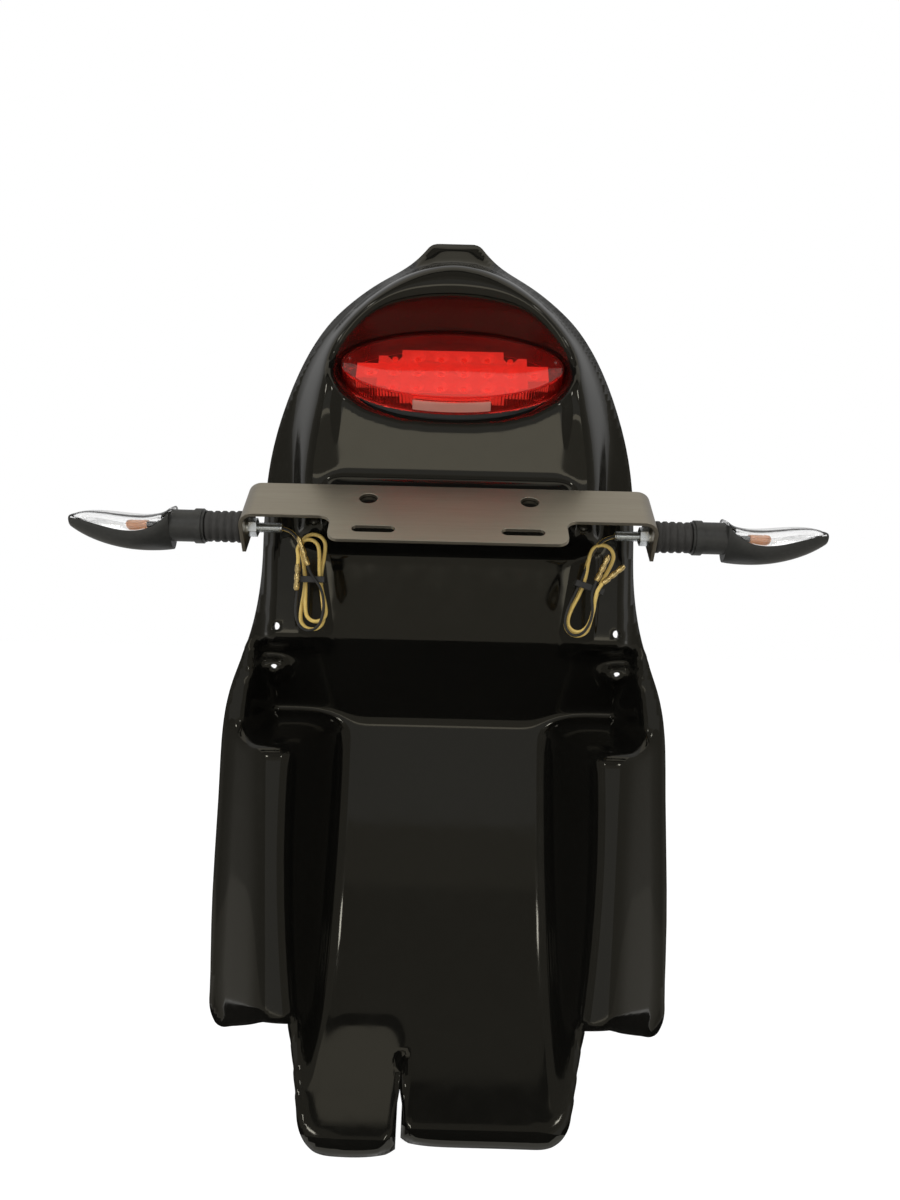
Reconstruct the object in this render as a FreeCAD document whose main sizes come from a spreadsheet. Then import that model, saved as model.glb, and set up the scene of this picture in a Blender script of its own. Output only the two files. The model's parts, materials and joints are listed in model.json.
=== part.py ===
"""Motorcycle undertail: a moulded shell with its tail light, number-plate bracket and indicators.

Sizes are in millimetres. X runs to the right as seen from behind, Z runs up towards the tail tip and
-Y points out of the underside, towards someone who looks at the lamp. "Out" is the distance along -Y.
The origin lies midway between the two upper fixing holes, on the face of their pads.
"""
import FreeCAD, Part
import math
import os

import Sketcher

VEC = FreeCAD.Vector
DOC = FreeCAD.newDocument("undertail")

SIZES = {
    # Moulded shell
    "shell_wall": 3,
    "rim_back": 15,
    "rim_slope": 0.142,
    "flange_width": 9,
    "flange_step": 5,
    "tip_height": 325,
    "tip_half_width": 20,
    "waist_half_width": 157,
    "hip_half_width": 184,
    "hip_foot": 317,
    "hip_corner": 22,
    "foot_lean": 0.48,
    # Lamp pod and plate ledge
    "pod_half_width": 104,
    "pod_base_half_width": 140,
    "pod_top": 288,
    "pod_base_top": 311,
    "brow_out": 35,
    "brow_height": 175,
    "panel_foot": 122,
    "panel_foot_out": 18,
    "panel_lean": 9.5,
    "panel_half_width": 93,
    "ledge_angle": 51,
    "ledge_length": 50,
    "ledge_half_width": 98,
    # Belly between the pod and the wheel arch
    "strip_inner": 122,
    "strip_slope_run": 24,
    "strip_foot": 17,
    "belly_top": 70,
    "belly_edge": 6,
    "belly_drop": 10,
    "band_foot": 87,
    "band_drop": 48,
    "band_half_width": 160,
    # Wheel arch, side ridges and front tongue
    "arch_radius": 412,
    "arch_axis_out": 348,
    "arch_axis_drop": 36,
    "arch_floor_half": 76,
    "arch_fillet": 24,
    "arch_wall_lean": 19,
    "ridge_half_top": 148,
    "ridge_half_foot": 131,
    "ridge_out_top": 25,
    "ridge_out_foot": 83,
    "tongue_foot": 369,
    "tongue_half_top": 116,
    "tongue_half_foot": 96,
    "tongue_corner": 24,
    "tray_left": 102,
    "tray_right": 28,
    "tray_rise": 7,
    "slit_width": 3,
    "slit_length": 42,
    # Fixing holes
    "fixing_hole_radius": 3.25,
    "upper_fixing_half": 141,
    "lower_fixing_half": 147,
    "lower_fixing_drop": 36,
    "lower_boss_radius": 10,
    "lower_boss_back": 26,
    # Tail light
    "lamp_half_width": 90,
    "lamp_half_height": 39,
    "lamp_height": 214.6,
    "lamp_out": 19.5,
    "lamp_tilt": 55,
    "lens_depth": 18,
    "lens_wall": 2.5,
    "lamp_gap": 1.5,
    "base_thick": 4,
    "gasket_thick": 1.5,
    "window_width": 62,
    "window_height": 10,
    "board_thick": 4,
    "board_lift": 5,
    "cup_pitch": 19,
    "cup_radius": 6.5,
    "led_radius": 2.4,
    "led_height": 2.2,
    "lamp_stud_radius": 2.5,
    "lamp_stud_pitch": 70,
    "lamp_stud_length": 18,
    "lamp_nut_across": 8,
    "lamp_nut_thick": 4,
    "loom_hole_radius": 6,
    # Number-plate bracket
    "bracket_width": 320,
    "bracket_depth": 74,
    "bracket_sheet": 3,
    "bracket_bend": 12,
    "tab_height": 36,
    "arm_depth": 44,
    "plate_width": 178,
    "plate_corner": 9,
    "bracket_seat": 16,
    "bracket_hole_radius": 7,
    "bracket_hole_pitch": 125,
    "bracket_hole_setback": 19,
    "slot_length": 32,
    "slot_width": 8.5,
    "slot_pitch": 111,
    "slot_setback": 60,
    # Indicators
    "stud_radius": 4,
    "stud_bore": 3,
    "stud_inside": 27,
    "stud_setback": 29,
    "stud_drop": 20,
    "stud_clearance": 0.2,
    "nut_across": 13,
    "nut_thick": 6.5,
    "washer_thick": 1.6,
    "washer_radius": 7.2,
    "stem_length": 29,
    "stem_root_radius": 12.5,
    "stem_end_radius": 12,
    "stem_ribs": 5,
    "rib_depth": 1.3,
    "collar_length": 26,
    "collar_radius": 12.5,
    "collar_ring": 1.2,
    "blade_length": 79,
    "blade_depth": 40,
    "blade_wall": 2,
    "reflector_wall": 1.2,
    "lens_thick": 2,
    "piece_gap": 0.2,
    "rim_rise": 4,
    "blade_tilt": 12,
    "bulb_start": 20,
    "bulb_lift": 0.5,
    "bulb_radius": 4.6,
    "bulb_length": 17,
    # Leads
    "earth_radius": 1.1,
    "live_radius": 1.5,
    "upper_loop_length": 39,
    "upper_loop_width": 16,
    "lower_loop_length": 42,
    "lower_loop_width": 26,
    "loop_shift": 3.2,
    "waist_left": 12,
    "waist_right": 9,
    "waist_top": 14,
    "waist_foot": 6,
    "hank_thick": 12,
    "tie_width": 5,
    "tie_thick": 1,
    "bullet_radius": 2.2,
}

SHEET = DOC.addObject("Spreadsheet::Sheet", "Dims")


def fill_sheet():
    """Writes every driving size to the sheet, each under its own alias."""
    for row, (alias, value) in enumerate(SIZES.items(), start=1):
        SHEET.set(f"A{row}", alias)
        SHEET.set(f"B{row}", str(value))
        SHEET.setAlias(f"B{row}", alias)
    DOC.recompute()


def size(alias):
    """Gives the sheet's value of one size."""
    return float(SHEET.get(alias))


def at(x, out, z):
    """Gives the point at x, that far out of the underside, at height z."""
    return VEC(x, -out, z)


def feature(label, shape):
    """Adds a shape that is worked out from the sheet as one sub-part."""
    item = DOC.addObject("Part::Feature", label)
    item.Label = label
    item.Shape = shape
    return item


def bind(item, **formulas):
    """Binds an object's properties to formulas over the sheet."""
    for name, formula in formulas.items():
        item.setExpression(name, formula)
    return item


def primitive(kind, label, **formulas):
    """Adds a Part primitive whose sizes follow the sheet."""
    return bind(DOC.addObject(f"Part::{kind}", label), **formulas)


def cut(label, base, tool):
    """Adds base less tool."""
    item = DOC.addObject("Part::Cut", label)
    item.Base, item.Tool = base, tool
    item.Label = label
    return item


def pair(label, source):
    """Adds source and its mirror image across the middle plane as one group of solids."""
    twin = DOC.addObject("Part::Mirroring", f"{label}_twin")
    twin.Source, twin.Normal = source, VEC(1, 0, 0)
    item = DOC.addObject("Part::Compound", label)
    item.Links = [source, twin]
    item.Label = label
    return item


def mirrored(label, source):
    """Adds the mirror image of source across the middle plane as a sub-part."""
    item = DOC.addObject("Part::Mirroring", label)
    item.Source, item.Normal = source, VEC(1, 0, 0)
    item.Label = label
    return item


def polygon(points):
    """Gives the flat face inside a closed row of points."""
    return Part.Face(Part.makePolygon(points + points[:1]))


def shrunk(profile, inset):
    """Gives a closed (height, out) profile moved inwards by inset."""
    if not inset:
        return profile
    face = polygon([VEC(height, out, 0) for height, out in profile])
    inner = face.makeOffset2D(-inset, 2, False, False, True)
    return [(vertex.X, vertex.Y) for vertex in inner.Wires[0].OrderedVertexes]


def across(profile, left, right):
    """Sweeps a (height, out) profile from left to right."""
    face = polygon([at(left, out, height) for height, out in profile])
    return face.extrude(VEC(right - left, 0, 0))


def smooth_edge(points):
    """Gives one smooth curve through the points."""
    curve = Part.BSplineCurve()
    curve.interpolate(points)
    return curve.toShape()


def rim_out(height):
    """Gives how far out the rim flange lies at a height: flat above the fixings, leaning out below."""
    return -size("rim_back") + size("rim_slope") * max(0.0, -height - size("rim_back"))


def rim_side(inset):
    """Gives the right side of the shell's outline, from the tip down, moved inwards by inset."""
    waist, hip = size("waist_half_width"), size("hip_half_width")
    tip, foot, corner = size("tip_height"), size("hip_foot"), size("hip_corner")
    side = [(size("tip_half_width"), tip), (0.33 * waist, tip - 32), (0.655 * waist, tip - 72),
            (0.88 * waist, tip - 135), (0.975 * waist, tip - 198), (waist, 40), (waist + 10, -13),
            (hip - 4, -55), (hip, -125), (hip, -225), (hip - 3, -foot + corner + 2)]
    curve = Part.BSplineCurve()
    curve.interpolate([VEC(x, 0, z) for x, z in side])
    points = []
    for x, z in side:
        (along,) = curve.tangent(curve.parameter(VEC(x, 0, z)))
        points.append(VEC(x, 0, z) + inset * VEC(along.z, 0, -along.x))
    points[0].z = tip - inset
    return points


def rim_face(inset):
    """Gives the shell's outline as seen from behind, moved inwards by inset."""
    hip, foot, corner = size("hip_half_width"), size("hip_foot"), size("hip_corner")
    right = rim_side(inset)
    end = VEC(hip - corner, 0, -foot + inset)
    middle = VEC(hip - 0.4 * corner - 0.7 * inset, 0, -foot + 0.3 * corner + 0.7 * inset)
    left, (far_end, far_middle) = ([VEC(-point.x, 0, point.z) for point in row] for row in (right, (end, middle)))
    left.reverse()
    edges = [Part.LineSegment(left[-1], right[0]).toShape(), smooth_edge(right),
             Part.Arc(right[-1], middle, end).toShape(), Part.LineSegment(end, far_end).toShape(),
             Part.Arc(far_end, far_middle, left[0]).toShape(), smooth_edge(left)]
    return Part.Face(Part.Wire(Part.__sortEdges__(edges)))


DEEP = 140
REACH = 260
BEYOND = 440


def rim_slab(lift, inset):
    """Gives all that lies behind the rim's surface, raised by lift."""
    top, foot = 420, -430
    profile = [(top, -DEEP), (top, rim_out(0) + lift - inset), (-size("rim_back"), rim_out(0) + lift - inset),
               (foot, rim_out(foot) + lift - inset), (foot, -DEEP)]
    return across(profile, -REACH, REACH)


def pod_wire(half_width, top, foot, out, inset):
    """Gives the pod's arch-shaped outline at one depth."""
    half, crown = half_width - inset, top - inset
    rise = crown - size("panel_foot")
    side = [(half, foot + inset), (half, size("panel_foot") - 20), (0.985 * half, crown - 0.66 * rise),
            (0.83 * half, crown - 0.36 * rise), (0.46 * half, crown - 0.1 * rise)]
    points = [at(x, out, z) for x, z in side] + [at(0, out, crown)]
    points += [at(-x, out, z) for x, z in reversed(side)]
    return Part.Wire([smooth_edge(points), Part.LineSegment(points[-1], points[0]).toShape()])


def pod_block(inset):
    """Gives the raised lamp pod, tapered from the rim to its brow."""
    brow, foot = size("brow_out"), size("belly_top")
    base = pod_wire(size("pod_base_half_width"), size("pod_base_top"), foot - 8, -size("rim_back") - 10, inset)
    crest = pod_wire(size("pod_half_width"), size("pod_top"), foot + 14, brow + 5, inset)
    front = [(BEYOND, brow - 4), (size("pod_top"), brow - 4), (size("brow_height"), brow),
             (size("panel_foot"), size("panel_foot_out") + 1), (0, size("panel_foot_out") + 1),
             (0, -DEEP), (BEYOND, -DEEP)]
    front = [(height, out if out == -DEEP else out - inset) for height, out in front]
    return Part.makeLoft([base, crest], True, True).common(across(front, -REACH, REACH))


def ledge_profile():
    """Gives the side view of the sloping ledge that carries the plate bracket."""
    lean = math.radians(size("ledge_angle"))
    foot, out = size("panel_foot"), size("panel_foot_out")
    nose = (foot - size("ledge_length") * math.cos(lean), out + size("ledge_length") * math.sin(lean))
    return [(foot, out), nose, (nose[0] - 7, nose[1] - 4), (size("belly_top"), -size("rim_back")),
            (size("belly_top"), -60), (foot, -60)]


def lamp_place(depth):
    """Gives the lamp's frame, moved back by depth along its axis."""
    turn = FreeCAD.Rotation(VEC(1, 0, 0), size("lamp_tilt"))
    centre = at(0, size("lamp_out"), size("lamp_height")) - turn.multVec(VEC(0, 0, depth))
    return FreeCAD.Placement(centre, turn)


def lamp_depth():
    """Gives the distance from the lens front to the shell's seat."""
    return size("lens_depth") + size("base_thick") + size("gasket_thick")


def oval(half_width, half_height):
    """Gives a flat oval wire."""
    return Part.Wire(Part.Ellipse(VEC(0, 0, 0), half_width, half_height).toShape())


def lamp_recess(grow):
    """Gives the hollow over the lamp: an oval seat that flares to the pod's brow."""
    room = size("lamp_gap") + grow
    seat = oval(size("lamp_half_width") + room, size("lamp_half_height") + room)
    seat.Placement = lamp_place(lamp_depth() + grow)
    top, foot = size("pod_top") - 12 + grow, size("panel_foot") + 44 - grow
    mouth = oval(size("panel_half_width") + 3 + grow, (top - foot) / 2)
    mouth.Placement = FreeCAD.Placement(at(0, size("brow_out") + 3, (top + foot) / 2),
                                        FreeCAD.Rotation(VEC(1, 0, 0), 90))
    return Part.makeLoft([seat, mouth], True, True)


def panel_recess(grow):
    """Gives the shallow flat recess under the lamp, where the pod's ridges stand out beside it."""
    lean = math.tan(math.radians(size("panel_lean")))
    foot, out = size("panel_foot") - grow, size("panel_foot_out") - grow
    top = size("lamp_height")
    profile = [(foot, out), (top, out + lean * (top - foot)), (top, DEEP), (foot, DEEP)]
    half = size("panel_half_width") + grow
    return across(profile, -half, half)


def belly_recess(grow):
    """Gives the hollow below the pod: a flat floor between the strips, and the wide band that falls away."""
    rim, drop = -size("rim_back"), size("belly_drop")
    edge, foot = -size("belly_edge"), -size("band_foot") - grow
    fall = (size("band_drop") - drop) / (size("band_foot") - size("belly_edge"))
    shoulder = grow - size("strip_foot")
    floor = [(size("belly_top"), rim - grow), (edge, rim - drop - grow), (foot, rim - size("band_drop") - grow),
             (foot, DEEP), (size("belly_top"), DEEP)]
    band = [(shoulder, rim - drop - fall * (edge - shoulder) - grow), floor[2], floor[3], (shoulder, DEEP)]
    half, wide = size("strip_inner") + grow, size("band_half_width") + grow
    return across(floor, -half, half).fuse(across(band, -wide, wide))


def strip_block(side, inset):
    """Gives one of the pads' strips beside the belly, sloping down to its floor."""
    inner, run = size("strip_inner"), size("strip_slope_run")
    outer = size("waist_half_width") - size("flange_width") - inset
    section = [(inner - run, -size("rim_back") - 8 - inset), (inner, -inset), (outer, -inset),
               (outer, -60), (inner - run, -60)]
    face = polygon([at(side * x, out, -size("strip_foot") + inset) for x, out in section])
    return face.extrude(VEC(0, 0, size("panel_foot") - 20 + size("strip_foot") - inset))


def ridge_section(half, out, height, foot_out, inset):
    """Gives the lower body's section at one height, before the wheel arch is cut from it."""
    outer = size("hip_half_width") - size("flange_width") - 1 - inset
    half = half - 0.6 * inset
    right = [(half, out - inset), (outer, foot_out), (outer, -DEEP)]
    points = [at(x, o, height) for x, o in right] + [at(-x, o, height) for x, o in reversed(right)]
    return Part.makePolygon(points + points[:1])


def lower_block(inset):
    """Gives the lower body with its two side ridges and the wheel arch hollowed between them."""
    top, foot = -size("band_foot") - inset, -size("hip_foot")
    halves = size("ridge_half_top"), size("ridge_half_foot")
    outs = size("ridge_out_top"), size("ridge_out_foot")
    step = size("flange_step") - inset
    sections = [ridge_section(halves[0], outs[0], top, rim_out(top) + step, inset),
                ridge_section(halves[1], outs[1], foot, rim_out(foot) + step, inset)]
    block = Part.makeLoft(sections, True, True)
    end = -size("tongue_foot") - 40
    sections = [sections[1], ridge_section(halves[1], outs[1] + 90, end, rim_out(end) + step, inset)]
    block = block.fuse(Part.makeLoft(sections, True, True))
    return block.cut(wheel_arch(inset))


def wheel_arch(grow):
    """Gives the trough that the wheel turns in, revolved about the wheel's axis."""
    radius, half, fillet = size("arch_radius") + grow, size("arch_floor_half") + grow, size("arch_fillet")
    lean = math.radians(size("arch_wall_lean"))
    start = VEC(half, 0, radius)
    turn = math.pi / 2 - lean
    middle = start + VEC(fillet * math.sin(turn / 2), 0, -fillet * (1 - math.cos(turn / 2)))
    end = start + VEC(fillet * math.sin(turn), 0, -fillet * (1 - math.cos(turn)))
    wall = 130
    crown = end + VEC(wall * math.tan(lean), 0, -wall)
    right = [start, middle, end, crown]
    left = [VEC(-point.x, 0, point.z) for point in right]
    edges = [Part.LineSegment(left[0], right[0]).toShape(), Part.Arc(*right[:3]).toShape(),
             Part.LineSegment(end, crown).toShape(), Part.LineSegment(crown, left[3]).toShape(),
             Part.LineSegment(left[3], left[2]).toShape(), Part.Arc(*reversed(left[:3])).toShape()]
    face = Part.Face(Part.Wire(Part.__sortEdges__(edges)))
    face.rotate(VEC(0, 0, 0), VEC(1, 0, 0), -90)
    trough = face.revolve(VEC(0, 0, 0), VEC(1, 0, 0), -100)
    trough.rotate(VEC(0, 0, 0), VEC(1, 0, 0), 20)
    trough.translate(at(0, size("arch_axis_out"), -size("arch_axis_drop")))
    return trough


def tray_block(inset):
    """Gives the raised flat tray on the tongue's left half."""
    end = size("tongue_foot") + 30
    start = size("hip_foot") - 18
    axis_out, drop, radius = size("arch_axis_out"), size("arch_axis_drop"), size("arch_radius")
    floor = [axis_out - math.sqrt(radius**2 - (height - drop)**2) for height in (start, end)]
    rise = size("tray_rise")
    profile = [(-start, floor[0] - 1), (-start - 14, floor[0] + rise + 8), (-end, floor[1] + rise),
               (-end, floor[0] - 30), (-start, floor[0] - 30)]
    return across(shrunk(profile, inset), -size("tray_left") - 30, -size("tray_right") - inset)


def form(inset):
    """Gives all that lies behind the shell's surface, moved inwards by inset."""
    base = rim_slab(0, inset)
    raised = rim_face(size("flange_width") + inset)
    raised = raised.extrude(VEC(0, -2 * DEEP, 0))
    raised.translate(VEC(0, DEEP, 0))
    base = base.fuse(raised.common(rim_slab(size("flange_step"), inset)))
    base = base.cut(belly_recess(inset))
    cutaway = across([(-size("band_foot") - inset, -DEEP), (-size("band_foot") - inset, DEEP), (-BEYOND, DEEP),
                      (-BEYOND, -DEEP)], -size("band_half_width"), size("band_half_width"))
    base = base.cut(cutaway)
    pod = pod_block(inset)
    half = size("ledge_half_width") - inset
    pod = pod.fuse(across(shrunk(ledge_profile(), inset), -half, half))
    pod = pod.cut(panel_recess(inset)).cut(lamp_recess(inset))
    parts = [strip_block(1, inset), strip_block(-1, inset), pod, lower_block(inset), tray_block(inset)]
    for side in (1, -1):
        boss = Part.makeCylinder(size("lower_boss_radius") - (inset and 3), 60, lower_fixing(side), VEC(0, 1, 0))
        boss.translate(VEC(0, inset, 0))
        parts.append(boss)
    return base.fuse(parts).cut(lamp_recess(inset))


def lower_fixing(side):
    """Gives the middle of a lower fixing boss's face."""
    return at(side * size("lower_fixing_half"), -size("lower_boss_back"), -size("lower_fixing_drop"))


def upper_fixing(side):
    """Gives the middle of an upper fixing hole on its pad."""
    return at(side * size("upper_fixing_half"), 0, 0)


def trim():
    """Gives the space that the shell's outline encloses: the body, and the tongue in front of the wheel."""
    body = rim_face(0).extrude(VEC(0, -2 * DEEP, 0))
    body.translate(VEC(0, DEEP, 0))
    foot = size("hip_foot")
    rim = rim_out(-foot)
    lean = size("foot_lean")
    above = [(420, -DEEP), (420, DEEP), (-foot + lean * (DEEP - rim), DEEP), (-foot, rim), (-foot, -DEEP)]
    body = body.common(across(above, -REACH, REACH))
    top, end, corner = -foot + 60, -size("tongue_foot"), size("tongue_corner")
    wide, narrow = size("tongue_half_top"), size("tongue_half_foot")
    side = polygon([VEC(-wide, 0, top), VEC(wide, 0, top), VEC(narrow, 0, end), VEC(-narrow, 0, end)])
    tongue = side.extrude(VEC(0, -2 * DEEP, 0))
    tongue.translate(VEC(0, DEEP, 0))
    lower = [edge for edge in tongue.Edges if abs(edge.tangentAt(edge.FirstParameter).y) > 0.99
             and edge.CenterOfMass.z < end + 1]
    return body.fuse(tongue.makeFillet(corner, lower))


def shell_shape():
    """Gives the moulded shell: its skin, trimmed to the outline and drilled."""
    skin = form(0).cut(form(size("shell_wall"))).common(trim())
    holes = []
    for side in (1, -1):
        spot = upper_fixing(side)
        for point in (spot, lower_fixing(side)):
            holes.append(Part.makeCylinder(size("fixing_hole_radius"), 60, point - VEC(0, 20, 0), VEC(0, 1, 0)))
        stud = Part.makeCylinder(size("lamp_stud_radius") + size("stud_clearance"), 30, VEC(0, 0, -30))
        stud.translate(VEC(side * size("lamp_stud_pitch") / 2, 0, 15))
        stud.Placement = lamp_place(lamp_depth()).multiply(stud.Placement)
        holes.append(stud)
    loom = Part.makeCylinder(size("loom_hole_radius"), 30, VEC(0, 0, -15))
    loom.Placement = lamp_place(lamp_depth()).multiply(loom.Placement)
    holes.append(loom)
    slit = Part.makeBox(size("slit_width"), 2 * DEEP, size("slit_length") + 50)
    slit.translate(VEC(-size("tray_right") + 1, -DEEP, -size("tongue_foot") - 50))
    holes.append(slit)
    return skin.cut(holes)


def shell():
    """Makes the moulded shell."""
    feature("undertail_shell", shell_shape())


def oval_block(label, half_width, half_height, thick, back):
    """Adds an oval block on the lamp's axis, with its front face at the depth back less its thickness."""
    ring = primitive("Ellipse", f"{label}_oval", MajorRadius=half_width, MinorRadius=half_height)
    block = DOC.addObject("Part::Extrusion", label)
    block.Base, block.Dir, block.DirMode, block.Solid = ring, VEC(0, 0, 1), "Custom", True
    bind(block, LengthFwd=thick)
    block.Placement = lamp_place(back)
    return block


def tail_light():
    """Makes the tail light: gasket, base with its studs, board of cups, diodes, lens and plate window."""
    wide, high, wall = "Dims.lamp_half_width", "Dims.lamp_half_height", "Dims.lens_wall"
    depth, base, gasket = size("lens_depth"), size("base_thick"), size("gasket_thick")
    cup = cut("lens_cup", oval_block("lens_block", wide, high, "Dims.lens_depth", depth),
              oval_block("lens_core", f"{wide} - {wall}", f"{high} - {wall}", f"Dims.lens_depth - {wall}", depth))
    opening = primitive("Box", "window_space", Length="Dims.window_width", Width="Dims.lamp_half_height",
                        Height="Dims.window_height")
    opening.Placement = lamp_place(depth).multiply(FreeCAD.Placement(
        VEC(-size("window_width") / 2, -1.4 * size("lamp_half_height"), 3), FreeCAD.Rotation()))
    cut("light_lens", cup, opening)
    window = DOC.addObject("Part::Common", "plate_window")
    window.Base, window.Tool = cup, opening
    ring = cut("gasket_ring", oval_block("gasket_block", wide, high, "Dims.gasket_thick", depth + base + gasket),
               oval_block("gasket_core", f"{wide} - 6", f"{high} - 6", "Dims.gasket_thick", depth + base + gasket))
    ring.Label = "light_gasket"
    plate = oval_block("base_plate", wide, high, "Dims.base_thick", depth + base)
    studs = []
    for side in (1, -1):
        stud = primitive("Cylinder", f"base_stud_{'left' if side < 0 else 'right'}",
                         Radius="Dims.lamp_stud_radius", Height="Dims.lamp_stud_length")
        spot = VEC(side * size("lamp_stud_pitch") / 2, 0, -size("lamp_stud_length") + 1)
        stud.Placement = lamp_place(depth + base).multiply(FreeCAD.Placement(spot, FreeCAD.Rotation()))
        studs.append(stud)
    light_base = DOC.addObject("Part::MultiFuse", "light_base")
    light_base.Shapes = [plate] + studs
    light_nuts(depth + base + gasket + size("shell_wall"))
    diode_board(depth)


def light_nuts(back):
    """Makes the two nuts that clamp the light to the shell's seat from inside."""
    nut = cut("light_nut", primitive("Prism", "light_nut_hexagon", Height="Dims.lamp_nut_thick",
                                     Circumradius="Dims.lamp_nut_across / 1.7320508"),
              primitive("Cylinder", "light_nut_bore", Height="Dims.lamp_nut_thick",
                        Radius="Dims.lamp_stud_radius + Dims.stud_clearance / 2"))
    place = lamp_place(back + size("lamp_nut_thick"))
    nut.Placement = place.multiply(FreeCAD.Placement(VEC(size("lamp_stud_pitch") / 2, 0, 0), FreeCAD.Rotation()))
    pair("light_nuts", nut)


def cup_spots():
    """Gives the cups' places on the board: a long middle row and a shorter one above and below."""
    pitch = size("cup_pitch")
    rows = ((-0.92 * pitch, 6), (0, 8), (0.92 * pitch, 6))
    return [VEC((column - (count - 1) / 2) * pitch, height, 0) for height, count in rows for column in range(count)]


def diode_board(depth):
    """Makes the stepped board that stands on the base, with a conical cup for each diode, and the diodes."""
    pitch, radius, led = size("cup_pitch"), size("cup_radius"), size("led_radius")
    steps = [(4.1 * pitch, 0.46 * pitch), (3.2 * pitch, 0.95 * pitch), (2.2 * pitch, 1.35 * pitch)]
    corner = []
    last = 0
    for half, height in steps:
        corner += [VEC(half, last, 0), VEC(half, height, 0)]
        last = height
    points = corner + [VEC(-point.x, point.y, 0) for point in reversed(corner)]
    points += [VEC(-point.x, -point.y, 0) for point in corner[1:]]
    points += [VEC(point.x, -point.y, 0) for point in reversed(corner[1:])]
    tall = size("board_lift") + size("board_thick")
    board = polygon(points).extrude(VEC(0, 0, tall))
    spots = [spot + VEC(0, 0, size("board_lift")) for spot in cup_spots()]
    cups = [Part.makeCone(led + 0.6, radius, size("board_thick"), spot) for spot in spots]
    feature("diode_board", board.cut(cups)).Placement = lamp_place(depth)
    diodes = [Part.makeCylinder(led, size("led_height"), spot) for spot in spots]
    feature("diodes", Part.makeCompound(diodes)).Placement = lamp_place(depth)


def bracket_place():
    """Gives the bracket's frame on the ledge: x across, y down the plate, z into the ledge."""
    lean = math.radians(size("ledge_angle"))
    down, back = at(0, math.sin(lean), -math.cos(lean)), at(0, -math.cos(lean), -math.sin(lean))
    start = at(0, size("panel_foot_out"), size("panel_foot")) + size("bracket_seat") * down
    return FreeCAD.Placement(start, FreeCAD.Rotation(VEC(1, 0, 0), down, back, "XYZ"))


def origin_plane(body, role):
    """Gives one of a body's own origin planes."""
    return next(item for item in body.Origin.OriginFeatures if item.Role == role)


def new_sketch(body, name, role):
    """Adds an empty sketch on one of the body's origin planes."""
    sketch = body.newObject("Sketcher::SketchObject", name)
    sketch.AttachmentSupport = [(origin_plane(body, role), "")]
    sketch.MapMode = "FlatFace"
    return sketch


def hold(sketch, kind, item, spot, formula):
    """Holds a point of the sketch at a distance from the origin that follows the sheet."""
    if formula == "0":
        sketch.addConstraint(Sketcher.Constraint("PointOnObject", item, spot, -2 if kind == "DistanceX" else -1))
        return
    value = float(sketch.evalExpression(formula))
    index = sketch.addConstraint(Sketcher.Constraint(kind, -1, 1, item, spot, value))
    sketch.setExpression(f"Constraints[{index}]", formula)


def corner_sketch(body, name, role, corners):
    """Adds a closed sketch of straight sides, with each corner held by two formulas over the sheet."""
    sketch = new_sketch(body, name, role)
    spots = [VEC(float(sketch.evalExpression(x)), float(sketch.evalExpression(y)), 0) for x, y in corners]
    for index, spot in enumerate(spots):
        sketch.addGeometry(Part.LineSegment(spot, spots[(index + 1) % len(spots)]))
    for index in range(len(spots)):
        sketch.addConstraint(Sketcher.Constraint("Coincident", index, 2, (index + 1) % len(spots), 1))
    for index, (x, y) in enumerate(corners):
        hold(sketch, "DistanceX", index, 1, x)
        hold(sketch, "DistanceY", index, 1, y)
    return sketch


def pocket(body, name, sketch):
    """Cuts a sketch through the whole body, both ways."""
    item = body.newObject("PartDesign::Pocket", name)
    item.Profile, item.Type, item.Midplane = sketch, "ThroughAll", True
    return item


def twin(body, name, source):
    """Repeats a body's feature across its middle plane."""
    item = body.newObject("PartDesign::Mirrored", name)
    item.Originals, item.MirrorPlane = [source], (origin_plane(body, "YZ_Plane"), [""])
    body.Tip = item
    return item


def circle_sketch(body, name, role, x, y, radius):
    """Adds a sketch of one circle, with its place and radius held by formulas over the sheet."""
    sketch = new_sketch(body, name, role)
    place = VEC(*(float(sketch.evalExpression(formula)) for formula in (x, y)), 0)
    sketch.addGeometry(Part.Circle(place, VEC(0, 0, 1), float(sketch.evalExpression(radius))))
    hold(sketch, "DistanceX", 0, 3, x)
    hold(sketch, "DistanceY", 0, 3, y)
    index = sketch.addConstraint(Sketcher.Constraint("Radius", 0, float(sketch.evalExpression(radius))))
    sketch.setExpression(f"Constraints[{index}]", radius)
    return sketch


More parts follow.
